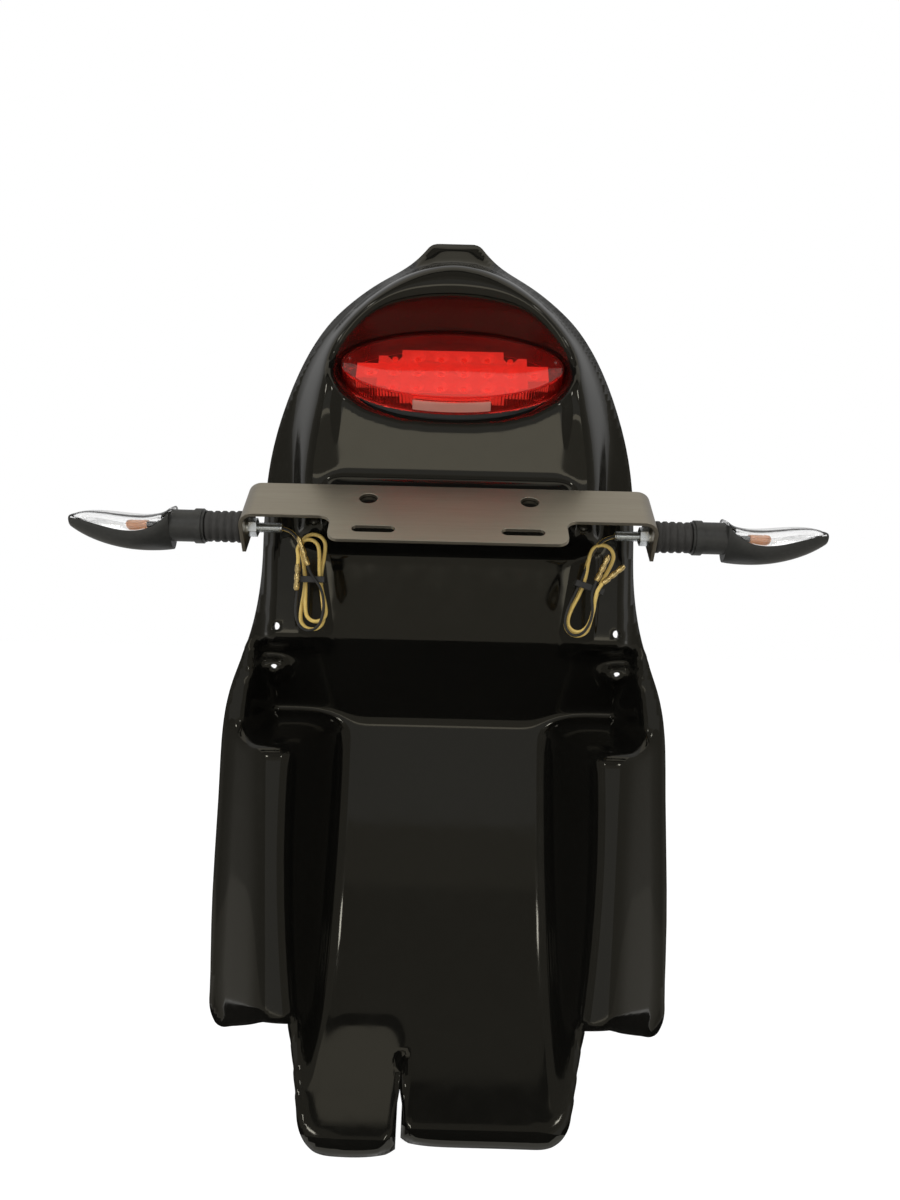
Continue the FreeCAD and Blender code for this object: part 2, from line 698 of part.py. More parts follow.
def slot_sketch(body, name):
    """Adds a sketch of one round-ended slot for the number plate's screws."""
    sketch = new_sketch(body, name, "XY_Plane")
    pitch, down, half, run = (float(sketch.evalExpression(formula)) for formula in (
        "Dims.slot_pitch / 2", "Dims.slot_setback", "Dims.slot_width / 2", "(Dims.slot_length - Dims.slot_width) / 2"))
    for side, first, last in ((1, -90, 90), (-1, 90, 270)):
        ring = Part.Circle(VEC(pitch + side * run, down, 0), VEC(0, 0, 1), half)
        sketch.addGeometry(Part.ArcOfCircle(ring, math.radians(first), math.radians(last)))
    for edge in (half, -half):
        sketch.addGeometry(Part.LineSegment(VEC(pitch + run, down + edge, 0), VEC(pitch - run, down + edge, 0)))
    for ends in ((0, 2, 2, 1), (2, 2, 1, 1), (1, 2, 3, 2), (3, 1, 0, 1)):
        sketch.addConstraint(Sketcher.Constraint("Tangent", *ends))
    hold(sketch, "DistanceX", 0, 3, "Dims.slot_pitch / 2 + (Dims.slot_length - Dims.slot_width) / 2")
    hold(sketch, "DistanceY", 0, 3, "Dims.slot_setback")
    hold(sketch, "DistanceX", 1, 3, "Dims.slot_pitch / 2 - (Dims.slot_length - Dims.slot_width) / 2")
    hold(sketch, "DistanceY", 1, 3, "Dims.slot_setback")
    index = sketch.addConstraint(Sketcher.Constraint("Radius", 0, half))
    sketch.setExpression(f"Constraints[{index}]", "Dims.slot_width / 2")
    return sketch


def edges_where(shape, test):
    """Gives the names of the edges that pass a test."""
    return [f"Edge{index}" for index, edge in enumerate(shape.Edges, start=1) if test(edge)]


def faces_where(shape, test):
    """Gives the names of the faces that pass a test."""
    return [f"Face{index}" for index, face in enumerate(shape.Faces, start=1) if test(face)]


def plate_bracket():
    """Makes the folded aluminium bracket: a channel with short arms, holes, slots and end tabs."""
    body = DOC.addObject("PartDesign::Body", "plate_bracket")
    block = bind(body.newObject("PartDesign::AdditiveBox", "bracket_block"), Length="Dims.bracket_width",
                 Width="Dims.bracket_depth", Height="Dims.tab_height")
    corner = VEC(-size("bracket_width") / 2, 0, -size("bracket_sheet"))
    block.Placement = FreeCAD.Placement(corner, FreeCAD.Rotation())
    DOC.recompute()
    folds = body.newObject("PartDesign::Fillet", "bracket_folds")
    ends = edges_where(block.Shape, lambda edge: edge.BoundBox.XLength < 0.01 and edge.BoundBox.ZLength < 0.01
                       and edge.CenterOfMass.z < corner.z + 1)
    folds.Base = (block, ends)
    bind(folds, Radius="Dims.bracket_bend")
    DOC.recompute()
    sheet = body.newObject("PartDesign::Thickness", "bracket_channel")
    mouths = faces_where(folds.Shape, lambda face: face.BoundBox.YLength < 0.01
                         or (face.BoundBox.ZLength < 0.01 and face.CenterOfMass.z > 0))
    sheet.Base = (folds, mouths)
    sheet.Reversed, sheet.Join = True, 0
    bind(sheet, Value="Dims.bracket_sheet")
    DOC.recompute()
    inner, outer = "Dims.plate_width / 2", "Dims.bracket_width / 2 + 10"
    notch = corner_sketch(body, "notch_outline", "XY_Plane", [
        (inner, "Dims.arm_depth"), (outer, "Dims.arm_depth"), (outer, "Dims.bracket_depth + 10"),
        (inner, "Dims.bracket_depth + 10")])
    twin(body, "notch_pair", pocket(body, "notch", notch))
    hole = circle_sketch(body, "hole_outline", "XY_Plane", "Dims.bracket_hole_pitch / 2",
                         "Dims.bracket_hole_setback", "Dims.bracket_hole_radius")
    twin(body, "hole_pair", pocket(body, "hole", hole))
    twin(body, "slot_pair", pocket(body, "slot", slot_sketch(body, "slot_outline")))
    bore = circle_sketch(body, "tab_outline", "YZ_Plane", "Dims.stud_setback", "Dims.stud_drop",
                         "Dims.stud_radius + Dims.stud_clearance")
    base = pocket(body, "tab_bores", bore)
    body.Tip = base
    DOC.recompute()
    reach = size("plate_width") / 2
    tips = edges_where(base.Shape, lambda edge: edge.BoundBox.XLength < 0.01 and edge.BoundBox.YLength < 0.01
                       and abs(abs(edge.CenterOfMass.x) - reach) < 0.01)
    rounds = body.newObject("PartDesign::Fillet", "plate_corners")
    rounds.Base = (base, tips)
    bind(rounds, Radius="Dims.plate_corner")
    body.Tip = rounds
    body.Placement = bracket_place()
    body.Label = "plate_bracket"


def stud_axis():
    """Gives the point of the indicators' axis on the middle plane."""
    return bracket_place().multVec(VEC(0, size("stud_setback"), size("stud_drop")))


def outward(start):
    """Gives a frame on the indicators' axis whose z runs outwards to the right, from start."""
    return FreeCAD.Placement(stud_axis() + VEC(start, 0, 0), FreeCAD.Rotation(VEC(0, 1, 0), 90))


def turned(label, corners):
    """Adds a body turned about its own z axis from a (radius, length) outline."""
    body = DOC.addObject("PartDesign::Body", label)
    sketch = corner_sketch(body, f"{label}_outline", "XZ_Plane", corners)
    spin = body.newObject("PartDesign::Revolution", f"{label}_turn")
    spin.Profile, spin.ReferenceAxis, spin.Angle = sketch, (sketch, ["V_Axis"]), 360
    body.Label = label
    return body


def indicator_fixings():
    """Makes the hollow threaded studs with their spring washers and nuts, inside the bracket's tabs."""
    inside = size("bracket_width") / 2 - size("bracket_sheet")
    reach = "Dims.stud_inside + Dims.bracket_sheet + Dims.stem_length - 4"
    stud = turned("indicator_stud", [("Dims.stud_bore", "0"), ("Dims.stud_radius - 0.6", "0"),
                                     ("Dims.stud_radius", "0.6"), ("Dims.stud_radius", reach),
                                     ("Dims.stud_bore", reach)])
    stud.Placement = outward(inside - size("stud_inside"))
    pair("indicator_studs", stud)
    bore = "Dims.stud_radius + Dims.stud_clearance / 2"
    washer = turned("indicator_washer", [(bore, "0"), ("Dims.washer_radius", "0"),
                                         ("Dims.washer_radius", "Dims.washer_thick"), (bore, "Dims.washer_thick")])
    washer.Placement = outward(inside - size("washer_thick"))
    pair("indicator_washers", washer)
    nut = cut("indicator_nut", primitive("Prism", "nut_hexagon", Height="Dims.nut_thick",
                                         Circumradius="Dims.nut_across / 1.7320508"),
              primitive("Cylinder", "nut_bore", Height="Dims.nut_thick", Radius=bore))
    nut.Placement = outward(inside - size("washer_thick") - size("nut_thick"))
    pair("indicator_nuts", nut)


def indicator_stem():
    """Makes the ribbed rubber stem and the smooth collar behind the blade."""
    outside = size("bracket_width") / 2
    count = int(size("stem_ribs"))
    bore = "Dims.stud_radius + Dims.stud_clearance / 2"
    corners = [(bore, "0")]
    for rib in range(count):
        begin = f"Dims.stem_length * {rib} / {count}"
        thin, thick = f"Dims.stem_root_radius - {rib} * 0.1 - Dims.rib_depth", f"Dims.stem_root_radius - {rib} * 0.1"
        corners += [(thin, begin or "0"), (thick, f"Dims.stem_length * ({rib} + 0.35) / {count}"),
                    (thick, f"Dims.stem_length * ({rib} + 0.7) / {count}")]
    corners[1] = (corners[1][0], "0")
    corners += [("Dims.stem_end_radius - Dims.rib_depth", "Dims.stem_length"), ("0", "Dims.stem_length"),
                ("0", "Dims.stem_length - 4 + Dims.piece_gap"), (bore, "Dims.stem_length - 4 + Dims.piece_gap")]
    stem = turned("right_indicator_stem", corners)
    stem.Placement = outward(outside)
    mirrored("left_indicator_stem", stem)
    ring = "Dims.collar_radius + Dims.collar_ring"
    collar = turned("right_indicator_collar", [
        ("0", "0"), ("Dims.collar_radius", "0"), ("Dims.collar_radius", "2"), (ring, "2"), (ring, "8"),
        ("Dims.collar_radius", "8"), ("Dims.collar_radius", "Dims.collar_length"), ("0", "Dims.collar_length")])
    collar.Placement = outward(outside + size("stem_length"))
    mirrored("left_indicator_collar", collar)


def blade_section(along, top, foot, half, inset):
    """Gives one section of the blade: flat on top, round below."""
    half, foot = half - inset, foot + inset
    deep = top - foot
    round_side = [(-half, 0), (-0.86 * half, 0.55 * deep), (0, deep), (0.86 * half, 0.55 * deep), (half, 0)]
    points = [VEC(along, y, top - down) for y, down in round_side]
    return Part.Wire([smooth_edge(points), Part.LineSegment(points[-1], points[0]).toShape()])


def blade_form(inset, rise):
    """Gives the blade's form, moved inwards by inset and carried up past its rim by rise."""
    sections = [blade_section(min(max(along, inset), size("blade_length") - inset), top + rise, foot, half, inset)
                for along, top, foot, half, crown in blade_stations()]
    return Part.makeLoft(sections, True, False)


def blade_stations():
    """Gives the blade's sections as (along, rim, foot, half width, crown of the lens), from the collar outwards."""
    long, half, root = size("blade_length"), size("blade_depth") / 2, size("collar_radius")
    return ((0, root - 1, -1.5 * root, 1.05 * root, 3), (0.22 * long, -1, -20, half, 9),
            (0.63 * long, 1, -16, 0.95 * half, 8.5), (long, 5, -3, 0.4 * half, 2))


def lens_form(inset):
    """Gives the domed form over the blade's rim, moved inwards by inset."""
    sections = [blade_section(min(max(along, inset), size("blade_length") - inset), top + size("piece_gap"),
                              top + crown - 2 * inset, half, inset)
                for along, top, foot, half, crown in blade_stations()]
    return Part.makeLoft(sections, True, False)


def indicator_blade():
    """Makes the blade's black body, its bright reflector, clear domed lens, bulb holder and amber bulb."""
    wall, liner, gap, rise = (size(name) for name in ("blade_wall", "reflector_wall", "piece_gap", "rim_rise"))
    start = size("bracket_width") / 2 + size("stem_length") + size("collar_length")
    place = FreeCAD.Placement(outward(start).Base, FreeCAD.Rotation(VEC(1, 0, 0), size("blade_tilt")))
    inner = wall + gap + liner
    reflector = blade_form(wall + gap, rise).cut(blade_form(inner, rise)).common(blade_form(0, 0))
    middle, radius, reach = VEC(inner, 0, size("bulb_lift")), size("bulb_radius"), size("bulb_start")
    holder = Part.makeCylinder(radius - 1.4, reach - inner, middle, VEC(1, 0, 0))
    relief = Part.makeCylinder(radius - 1, reach, middle, VEC(1, 0, 0))
    glass = Part.makeCylinder(radius, size("bulb_length") - radius, VEC(reach, 0, middle.z), VEC(1, 0, 0))
    tip = Part.makeSphere(radius, VEC(reach + size("bulb_length") - radius, 0, middle.z))
    pieces = {
        "body": blade_form(0, 0).cut(blade_form(wall, rise)),
        "reflector": reflector,
        "lens": lens_form(0).cut([lens_form(size("lens_thick")), relief]),
        "holder": holder,
        "bulb": glass.fuse(tip),
    }
    for name, shape in pieces.items():
        piece = feature(f"right_indicator_{name}", shape)
        piece.Placement = place
        mirrored(f"left_indicator_{name}", piece)


LEAD_ROUTES = {
    "left": [(-136, 78.2), (-128, 78.2), (-119.5, 73), (-114, 63), (-114, 52.5)],
    "right": [(137, 78.2), (129, 78.2), (119, 73.5), (111.67, 62.95), (108.35, 52.98)],
}
BULLET_SPOTS = {
    "left": (((-116, 72), (-108, 49), 0), ((-115.5, 50), (-116.3, 29), 1)),
    "right": (((124.5, 63), (115.3, 42.5), 0), ((137, 55), (120, 40.5), 0)),
}
TIE_SPOTS = {"left": (-105, 38.5, 0), "right": (112, 37, 18.4)}


def lead_wire(label, points):
    """Gives a lead's route: straight runs joined by arcs that touch both."""
    edges = []
    last = points[0]
    radii = []
    for before, corner, after in zip(points, points[1:], points[2:]):
        back, ahead = before - corner, after - corner
        reach = 0.45 * min(back.Length, ahead.Length)
        half_turn = (math.pi - back.getAngle(ahead)) / 2
        radius = reach / math.tan(half_turn)
        enter, leave = corner + reach * back.normalize(), corner + reach * ahead.normalize()
        inward = (back + ahead).normalize()
        middle = corner + inward * (radius / math.cos(half_turn) - radius)
        edges.append(Part.LineSegment(last, enter).toShape())
        edges.append(Part.Arc(enter, middle, leave).toShape())
        last = leave
        radii.append(round(radius, 1))
    edges.append(Part.LineSegment(last, points[-1]).toShape())
    wire = Part.Wire(edges)
    print(label, "bend radii", radii, "length", round(wire.Length, 1))
    return wire


def lead(label, side, radius, shift):
    """Makes one insulated lead from the stud's bore to the top of its hank."""
    out = -stud_axis().y + shift
    points = [at(x, out, z) for x, z in LEAD_ROUTES[side]]
    wire = lead_wire(label, points)
    ring = Part.Wire([Part.Circle(points[0], points[1] - points[0], radius).toShape()])
    tube = wire.makePipeShell([ring], True, False)
    print(label, "volume over section times length", round(tube.Volume / (math.pi * radius ** 2 * wire.Length), 3))
    feature(label, tube)


def lobe(side_shift, height, half_width, half_height):
    """Gives one rounded bundle of loops, upright in the hank's own plane."""
    thick = size("hank_thick")
    flat = Part.Ellipse(VEC(side_shift, -thick / 2, height) + VEC(0, 0, half_height),
                        VEC(side_shift - half_width, -thick / 2, height), VEC(side_shift, -thick / 2, height))
    return Part.Face(Part.Wire([flat.toShape()])).extrude(VEC(0, thick, 0))


def waist(grow, top, foot):
    """Gives the gathered middle of a hank, thickened by grow, where the tie goes round it."""
    left, right, thick = -size("waist_left") - grow, size("waist_right") + grow, size("hank_thick") + 2 * grow
    return Part.makeBox(right - left, thick, top - foot, VEC(left, -thick / 2, foot))


def hank_form():
    """Gives the tied bundle: a narrow lobe of loops above the tie, a wide one below and the gathered middle."""
    upper, lower = size("upper_loop_length") / 2, size("lower_loop_length") / 2
    above = lobe(size("loop_shift"), upper, size("upper_loop_width") / 2, upper)
    below = lobe(-1, -lower, size("lower_loop_width") / 2, lower)
    return waist(0, size("waist_top"), -size("waist_foot")).fuse([above, below])


def wiring(side):
    """Makes one side's two leads, the hank they are gathered in, its tie and the bullet connectors."""
    lead(f"{side}_live_lead", side, size("live_radius"), -1.4)
    lead(f"{side}_earth_lead", side, size("earth_radius"), 1.6)
    x, z, slant = TIE_SPOTS[side]
    out = -stud_axis().y
    place = FreeCAD.Placement(at(x, out, z), FreeCAD.Rotation(VEC(0, 1, 0), slant))
    feature(f"{side}_hank", hank_form()).Placement = place
    half, proud = size("tie_width") / 2, size("tie_thick")
    feature(f"{side}_hank_tie", waist(proud, half, -half).cut(waist(0, half, -half))).Placement = place
    bullets = []
    for (top_x, top_z), (foot_x, foot_z), over_tie in BULLET_SPOTS[side]:
        front = out + size("hank_thick") / 2 + size("bullet_radius") + over_tie * proud + 0.05
        run = at(foot_x, front, foot_z) - at(top_x, front, top_z)
        bullets.append(Part.makeCylinder(size("bullet_radius"), run.Length, at(top_x, front, top_z), run))
    feature(f"{side}_bullets", Part.makeCompound(bullets))


def main():
    """Builds every sub-part, checks it and writes its file."""
    fill_sheet()
    shell()
    tail_light()
    plate_bracket()
    indicator_fixings()
    indicator_stem()
    indicator_blade()
    wiring("left")
    wiring("right")
    DOC.recompute()
    failed = [item.Label for item in DOC.Objects if "Invalid" in item.State or "Error" in item.State]
    if failed:
        raise RuntimeError(f"failed: {failed}")
    os.makedirs("parts", exist_ok=True)
    for label in PIECES:
        (item,) = DOC.getObjectsByLabel(label)
        if item.Shape.isNull() or not item.Shape.isValid():
            raise RuntimeError(f"bad shape: {label}")
        print(label, len(item.Shape.Solids), round(item.Shape.Volume), item.Shape.BoundBox)
        item.Shape.exportStep(f"parts/{label}.step")


PIECES = ["undertail_shell", "light_gasket", "light_base", "light_nuts", "diode_board", "diodes", "light_lens",
          "plate_window", "plate_bracket", "indicator_studs", "indicator_washers", "indicator_nuts"]
PIECES += [f"{side}_indicator_{name}" for side in ("left", "right")
           for name in ("stem", "collar", "body", "reflector", "lens", "holder", "bulb")]
PIECES += [f"{side}_{name}" for side in ("left", "right")
           for name in ("live_lead", "earth_lead", "hank", "hank_tie", "bullets")]

main()
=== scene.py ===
"""Dresses the motorcycle undertail: its moulded shell, tail light, plate bracket, indicators and leads.

Lengths are in metres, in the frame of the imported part. X runs to the right, Z up towards the tail tip and
-Y out of the underside, towards the camera. "Out" is the distance along -Y.
"""
import json
import logging
import math
from collections.abc import Callable, Sequence
from dataclasses import dataclass, field
from enum import Enum
from typing import ClassVar

import bmesh
import bpy
from mathutils import Matrix, Vector
from mathutils.bvhtree import BVHTree


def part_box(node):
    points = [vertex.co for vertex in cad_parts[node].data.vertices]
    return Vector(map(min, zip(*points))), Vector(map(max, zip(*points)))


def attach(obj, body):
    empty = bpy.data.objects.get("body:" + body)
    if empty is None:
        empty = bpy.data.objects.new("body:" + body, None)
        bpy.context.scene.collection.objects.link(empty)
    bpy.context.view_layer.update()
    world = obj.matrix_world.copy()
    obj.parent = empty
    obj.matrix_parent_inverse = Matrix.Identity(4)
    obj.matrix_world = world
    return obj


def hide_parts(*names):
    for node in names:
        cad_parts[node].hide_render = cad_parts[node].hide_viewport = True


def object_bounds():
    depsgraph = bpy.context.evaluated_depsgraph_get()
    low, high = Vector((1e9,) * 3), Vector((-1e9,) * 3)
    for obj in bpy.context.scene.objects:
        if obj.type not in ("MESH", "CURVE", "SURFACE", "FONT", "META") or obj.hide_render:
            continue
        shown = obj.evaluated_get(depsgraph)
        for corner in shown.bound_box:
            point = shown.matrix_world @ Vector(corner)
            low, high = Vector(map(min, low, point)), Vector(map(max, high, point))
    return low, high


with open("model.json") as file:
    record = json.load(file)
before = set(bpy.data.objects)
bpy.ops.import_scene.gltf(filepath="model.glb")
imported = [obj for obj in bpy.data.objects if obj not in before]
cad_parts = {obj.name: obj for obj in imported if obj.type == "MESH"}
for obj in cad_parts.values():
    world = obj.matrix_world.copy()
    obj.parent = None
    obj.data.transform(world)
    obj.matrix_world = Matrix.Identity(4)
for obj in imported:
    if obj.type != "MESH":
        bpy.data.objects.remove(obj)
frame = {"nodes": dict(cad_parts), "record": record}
CAD_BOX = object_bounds()

LOG = logging.getLogger("undertail")
MM = 0.001
BODY = "root"
PHOTO_HEIGHT = 1200
QUARTER_TURN = math.pi / 2
FULL_TURN = 2 * math.pi
MERGE_DISTANCE = 1e-6
SHARP_ANGLE = 35.0
FLAT_ANGLE = 0.6
HALF_UNIT = 0.5
EDGE_SEGMENTS = 2
INWARD = -1.0

Place = tuple[float, float, float]
Colour = tuple[float, float, float]


class Side(Enum):
    """The two sides of the part, with the sign of X on each."""

    LEFT = -1
    RIGHT = 1

    @property
    def word(self) -> str:
        """Gives the side's name as it stands in the node names.

        Returns:
            The name in small letters.
        """
        return self.name.lower()


class Texture(Enum):
    """How a finish's fine pattern is stretched: even, or drawn out along X by rolling."""

    EVEN = (1.0, 1.0, 1.0)
    ROLLED = (0.04, 1.0, 1.0)


@dataclass(frozen=True)
class Finish:
    """One surface finish, with the variation that its pattern gives it."""

    name: str
    slot: str
    colour: Colour
    worn_colour: Colour
    roughness: tuple[float, float]
    pattern_scale: float = 120.0
    bump: float = 0.02
    bump_distance: float = 0.0004
    metallic: float = 0.0
    transmission: float = 0.0
    ior: float = 1.5
    # glow is emission strength: above zero it is painted glow, light painted on a part that is no lamp
    glow: float = 0.0
    mirror_tint: Colour = (1.0, 1.0, 1.0)
    texture: Texture = Texture.EVEN


class Finishes:
    """The finishes of this part, each made into a material once."""

    GELCOAT = Finish("black_gelcoat", "gelcoat", (0.003, 0.0029, 0.0025), (0.006, 0.0058, 0.005),
                     (0.05, 0.12), 9.0, bump=0.1, bump_distance=0.003, mirror_tint=(1.0, 0.96, 0.82))
    GASKET = Finish("sealing_rubber", "gasket_rubber", (0.02, 0.02, 0.02), (0.032, 0.031, 0.03),
                    (0.6, 0.8), 300.0)
    BASE = Finish("light_base_moulding", "light_base", (0.05, 0.05, 0.05), (0.07, 0.07, 0.068),
                  (0.4, 0.55), 200.0)
    ZINC = Finish("zinc_plate", "zinc_steel", (0.74, 0.77, 0.78), (0.9, 0.93, 0.94), (0.18, 0.32), 260.0,
                  bump=0.04, metallic=1.0)
    # The diode board's glow is painted light: emission that brightens the board though the tail light is not
    # lit
    BOARD = Finish("pale_diode_board_painted_glow", "board", (0.74, 0.68, 0.64), (0.86, 0.82, 0.78), (0.2, 0.35), 90.0,
                   glow=0.34)
    # The diodes' glow is painted light: emission on diodes that are not lit
    DIODE = Finish("diode_dome", "diode", (0.8, 0.3, 0.24), (1.0, 0.6, 0.5), (0.06, 0.14), 200.0,
                   transmission=0.3, glow=0.2)
    RED = Finish("red_acrylic", "red_lens", (0.93, 0.06, 0.04), (0.96, 0.08, 0.06), (0.0, 0.03), 70.0,
                 bump=0.01, transmission=0.95, ior=1.49)
    # The window's glow is painted light: a faint emission on a window that is no lamp
    WINDOW = Finish("clear_window", "clear_window", (0.86, 0.42, 0.33), (0.92, 0.5, 0.41), (0.16, 0.26), 90.0,
                    transmission=0.5, ior=1.49, glow=0.05)
    ALUMINIUM = Finish("mill_aluminium", "bracket", (0.355, 0.32, 0.265), (0.42, 0.385, 0.32),
                       (0.32, 0.46), 420.0, bump=0.05, bump_distance=0.0002, metallic=1.0,
                       texture=Texture.ROLLED)
    RUBBER = Finish("stem_rubber", "stem_rubber", (0.024, 0.023, 0.021), (0.046, 0.044, 0.04),
                    (0.5, 0.72), 240.0, bump=0.05)
    SATIN = Finish("satin_black_moulding", "indicator_plastic", (0.022, 0.022, 0.02), (0.042, 0.042, 0.038),
                   (0.34, 0.52), 320.0, bump=0.06)
    CHROME = Finish("metallised_reflector", "reflector", (0.78, 0.78, 0.77), (0.86, 0.86, 0.85),
                    (0.1, 0.22), 80.0, metallic=1.0)
    CLEAR = Finish("clear_acrylic", "clear_lens", (0.97, 0.97, 0.97), (0.99, 0.99, 0.99), (0.01, 0.04), 60.0,
                   bump=0.01, transmission=1.0, ior=1.45)
    AMBER = Finish("amber_glass", "amber_bulb", (0.78, 0.3, 0.1), (0.86, 0.42, 0.2), (0.06, 0.14), 90.0,
                   transmission=0.35)
    YELLOW = Finish("yellow_insulation", "yellow_sleeve", (0.74, 0.5, 0.11), (0.86, 0.63, 0.2),
                    (0.34, 0.5), 160.0)
    BLACK = Finish("black_insulation", "black_sleeve", (0.014, 0.014, 0.013), (0.028, 0.027, 0.025),
                   (0.36, 0.52), 180.0)
    BRASS = Finish("bright_brass", "brass", (0.8, 0.58, 0.22), (0.9, 0.7, 0.34), (0.18, 0.32), 240.0,
                   bump=0.03, metallic=1.0)

    _made: ClassVar[dict[str, bpy.types.Material]] = {}

    @classmethod
    def material(cls, finish: Finish) -> bpy.types.Material:
        """Gives the finish's material, made at its first use.

        Args:
            finish: The finish to make.

        Returns:
            The node material.
        """
        if finish.name not in cls._made:
            cls._made[finish.name] = cls._build(finish)
        return cls._made[finish.name]

    @classmethod
    def _build(cls, finish: Finish) -> bpy.types.Material:
        """Makes a material whose colour, roughness and bump follow the shared mottle.

        Args:
            finish: The finish to make.

        Returns:
            The new material.
        """
        material = bpy.data.materials.new(finish.name)
        material.use_nodes = True
        nodes, links = material.node_tree.nodes, material.node_tree.links
        shader = nodes["Principled BSDF"]
        shader.inputs["Metallic"].default_value = finish.metallic
        shader.inputs["Transmission Weight"].default_value = finish.transmission
        shader.inputs["IOR"].default_value = finish.ior
        shader.inputs["Specular Tint"].default_value = (*finish.mirror_tint, 1.0)
        # Emission paints light into the surface: a painted glow in the worn colour, on parts that are no lamp
        shader.inputs["Emission Color"].default_value = (*finish.worn_colour, 1.0)
        shader.inputs["Emission Strength"].default_value = finish.glow
        mottle = nodes.new("ShaderNodeGroup")
        mottle.node_tree = mottle_group()
        mottle.inputs["Scale"].default_value = finish.pattern_scale
        mottle.inputs["Stretch"].default_value = finish.texture.value
        mottle.inputs["Plain Colour"].default_value = (*finish.colour, 1.0)
        mottle.inputs["Worn Colour"].default_value = (*finish.worn_colour, 1.0)
        mottle.inputs["Smoothest"].default_value, mottle.inputs["Roughest"].default_value = finish.roughness
        bump = nodes.new("ShaderNodeBump")
        bump.inputs["Strength"].default_value = finish.bump
        bump.inputs["Distance"].default_value = finish.bump_distance
        links.new(mottle.outputs["Colour"], shader.inputs["Base Color"])
        links.new(mottle.outputs["Roughness"], shader.inputs["Roughness"])
        links.new(mottle.outputs["Height"], bump.inputs["Height"])
        links.new(bump.outputs["Normal"], shader.inputs["Normal"])
        return material


MOTTLE = "surface_mottle"
MOTTLE_INPUTS = {"Scale": "Float", "Stretch": "Vector", "Plain Colour": "Color", "Worn Colour": "Color",
                 "Smoothest": "Float", "Roughest": "Float"}
MOTTLE_OUTPUTS = {"Colour": "Color", "Roughness": "Float", "Height": "Float"}
BROAD_DETAIL, FINE_DETAIL = 3.0, 2.0
FINE_RATIO = 6.0
DUST_RANGE = (0.3, 0.7)


def mottle_group() -> bpy.types.NodeTree:
    """Gives the shared pattern: broad mottle for colour and height, with fine dust in the roughness.

    Returns:
        The node group, made at its first use.
    """
    if MOTTLE in bpy.data.node_groups:
        return bpy.data.node_groups[MOTTLE]
    group = bpy.data.node_groups.new(MOTTLE, "ShaderNodeTree")
    for way, sockets in (("INPUT", MOTTLE_INPUTS), ("OUTPUT", MOTTLE_OUTPUTS)):
        for name, kind in sockets.items():
            group.interface.new_socket(name, in_out=way, socket_type=f"NodeSocket{kind}")
    nodes, links = group.nodes, group.links
    given, result = nodes.new("NodeGroupInput"), nodes.new("NodeGroupOutput")
    where = nodes.new("ShaderNodeTexCoord")
    stretch = nodes.new("ShaderNodeVectorMath")
    stretch.operation = "MULTIPLY"
    broad, fine = nodes.new("ShaderNodeTexNoise"), nodes.new("ShaderNodeTexNoise")
    broad.inputs["Detail"].default_value = BROAD_DETAIL
    fine.inputs["Detail"].default_value = FINE_DETAIL
    finer = nodes.new("ShaderNodeMath")
    finer.operation = "MULTIPLY"
    finer.inputs[1].default_value = FINE_RATIO
    tone = nodes.new("ShaderNodeMix")
    tone.data_type = "RGBA"
    gloss = nodes.new("ShaderNodeMapRange")
    links.new(where.outputs["Object"], stretch.inputs[0])
    links.new(given.outputs["Stretch"], stretch.inputs[1])
    for noise in (broad, fine):
        links.new(stretch.outputs["Vector"], noise.inputs["Vector"])
    links.new(given.outputs["Scale"], broad.inputs["Scale"])
    links.new(given.outputs["Scale"], finer.inputs[0])
    links.new(finer.outputs["Value"], fine.inputs["Scale"])
    links.new(broad.outputs["Fac"], tone.inputs["Factor"])
    links.new(given.outputs["Plain Colour"], tone.inputs["A"])
    links.new(given.outputs["Worn Colour"], tone.inputs["B"])
    gloss.inputs["From Min"].default_value, gloss.inputs["From Max"].default_value = DUST_RANGE
    links.new(fine.outputs["Fac"], gloss.inputs["Value"])
    links.new(given.outputs["Smoothest"], gloss.inputs["To Min"])
    links.new(given.outputs["Roughest"], gloss.inputs["To Max"])
    links.new(tone.outputs["Result"], result.inputs["Colour"])
    links.new(gloss.outputs["Result"], result.inputs["Roughness"])
    links.new(broad.outputs["Fac"], result.inputs["Height"])
    return group


def dress(piece: bpy.types.Object, finish: Finish, *nodes: str) -> bpy.types.Object:
    """Gives a piece its finish, lets it ride on the part and stand for its nodes.

    Args:
        piece: The new object.
        finish: The finish to put on it.
        nodes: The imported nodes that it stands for.

    Returns:
        The same object.
    """
    piece.data.materials.clear()
    piece.data.materials.append(Finishes.material(finish))
    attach(piece, BODY)
    if nodes:
        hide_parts(*nodes)
    LOG.info("made %s", piece.name)
    return piece


def to_object(name: str, mesh: bmesh.types.BMesh, sharp_angle: float = SHARP_ANGLE) -> bpy.types.Object:
    """Turns a bmesh into a linked object at the origin, shaded smooth up to an angle.

    Args:
        name: The object's name.
        mesh: The finished bmesh, which is freed.
        sharp_angle: The angle in degrees past which an edge stays sharp.

    Returns:
        The new object.
    """
    data = bpy.data.meshes.new(name)
    mesh.to_mesh(data)
    mesh.free()
    data.shade_smooth()
    data.set_sharp_from_angle(angle=math.radians(sharp_angle))
    piece = bpy.data.objects.new(name, data)
    bpy.context.scene.collection.objects.link(piece)
    return piece


def merged_node(node: str) -> bmesh.types.BMesh:
    """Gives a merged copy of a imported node's mesh.

    Args:
        node: The node's name.

    Returns:
        The copy as a bmesh, with its doubled points joined.
    """
    mesh = bmesh.new()
    mesh.from_mesh(frame["nodes"][node].data)
    bmesh.ops.remove_doubles(mesh, verts=mesh.verts, dist=MERGE_DISTANCE)
    return mesh


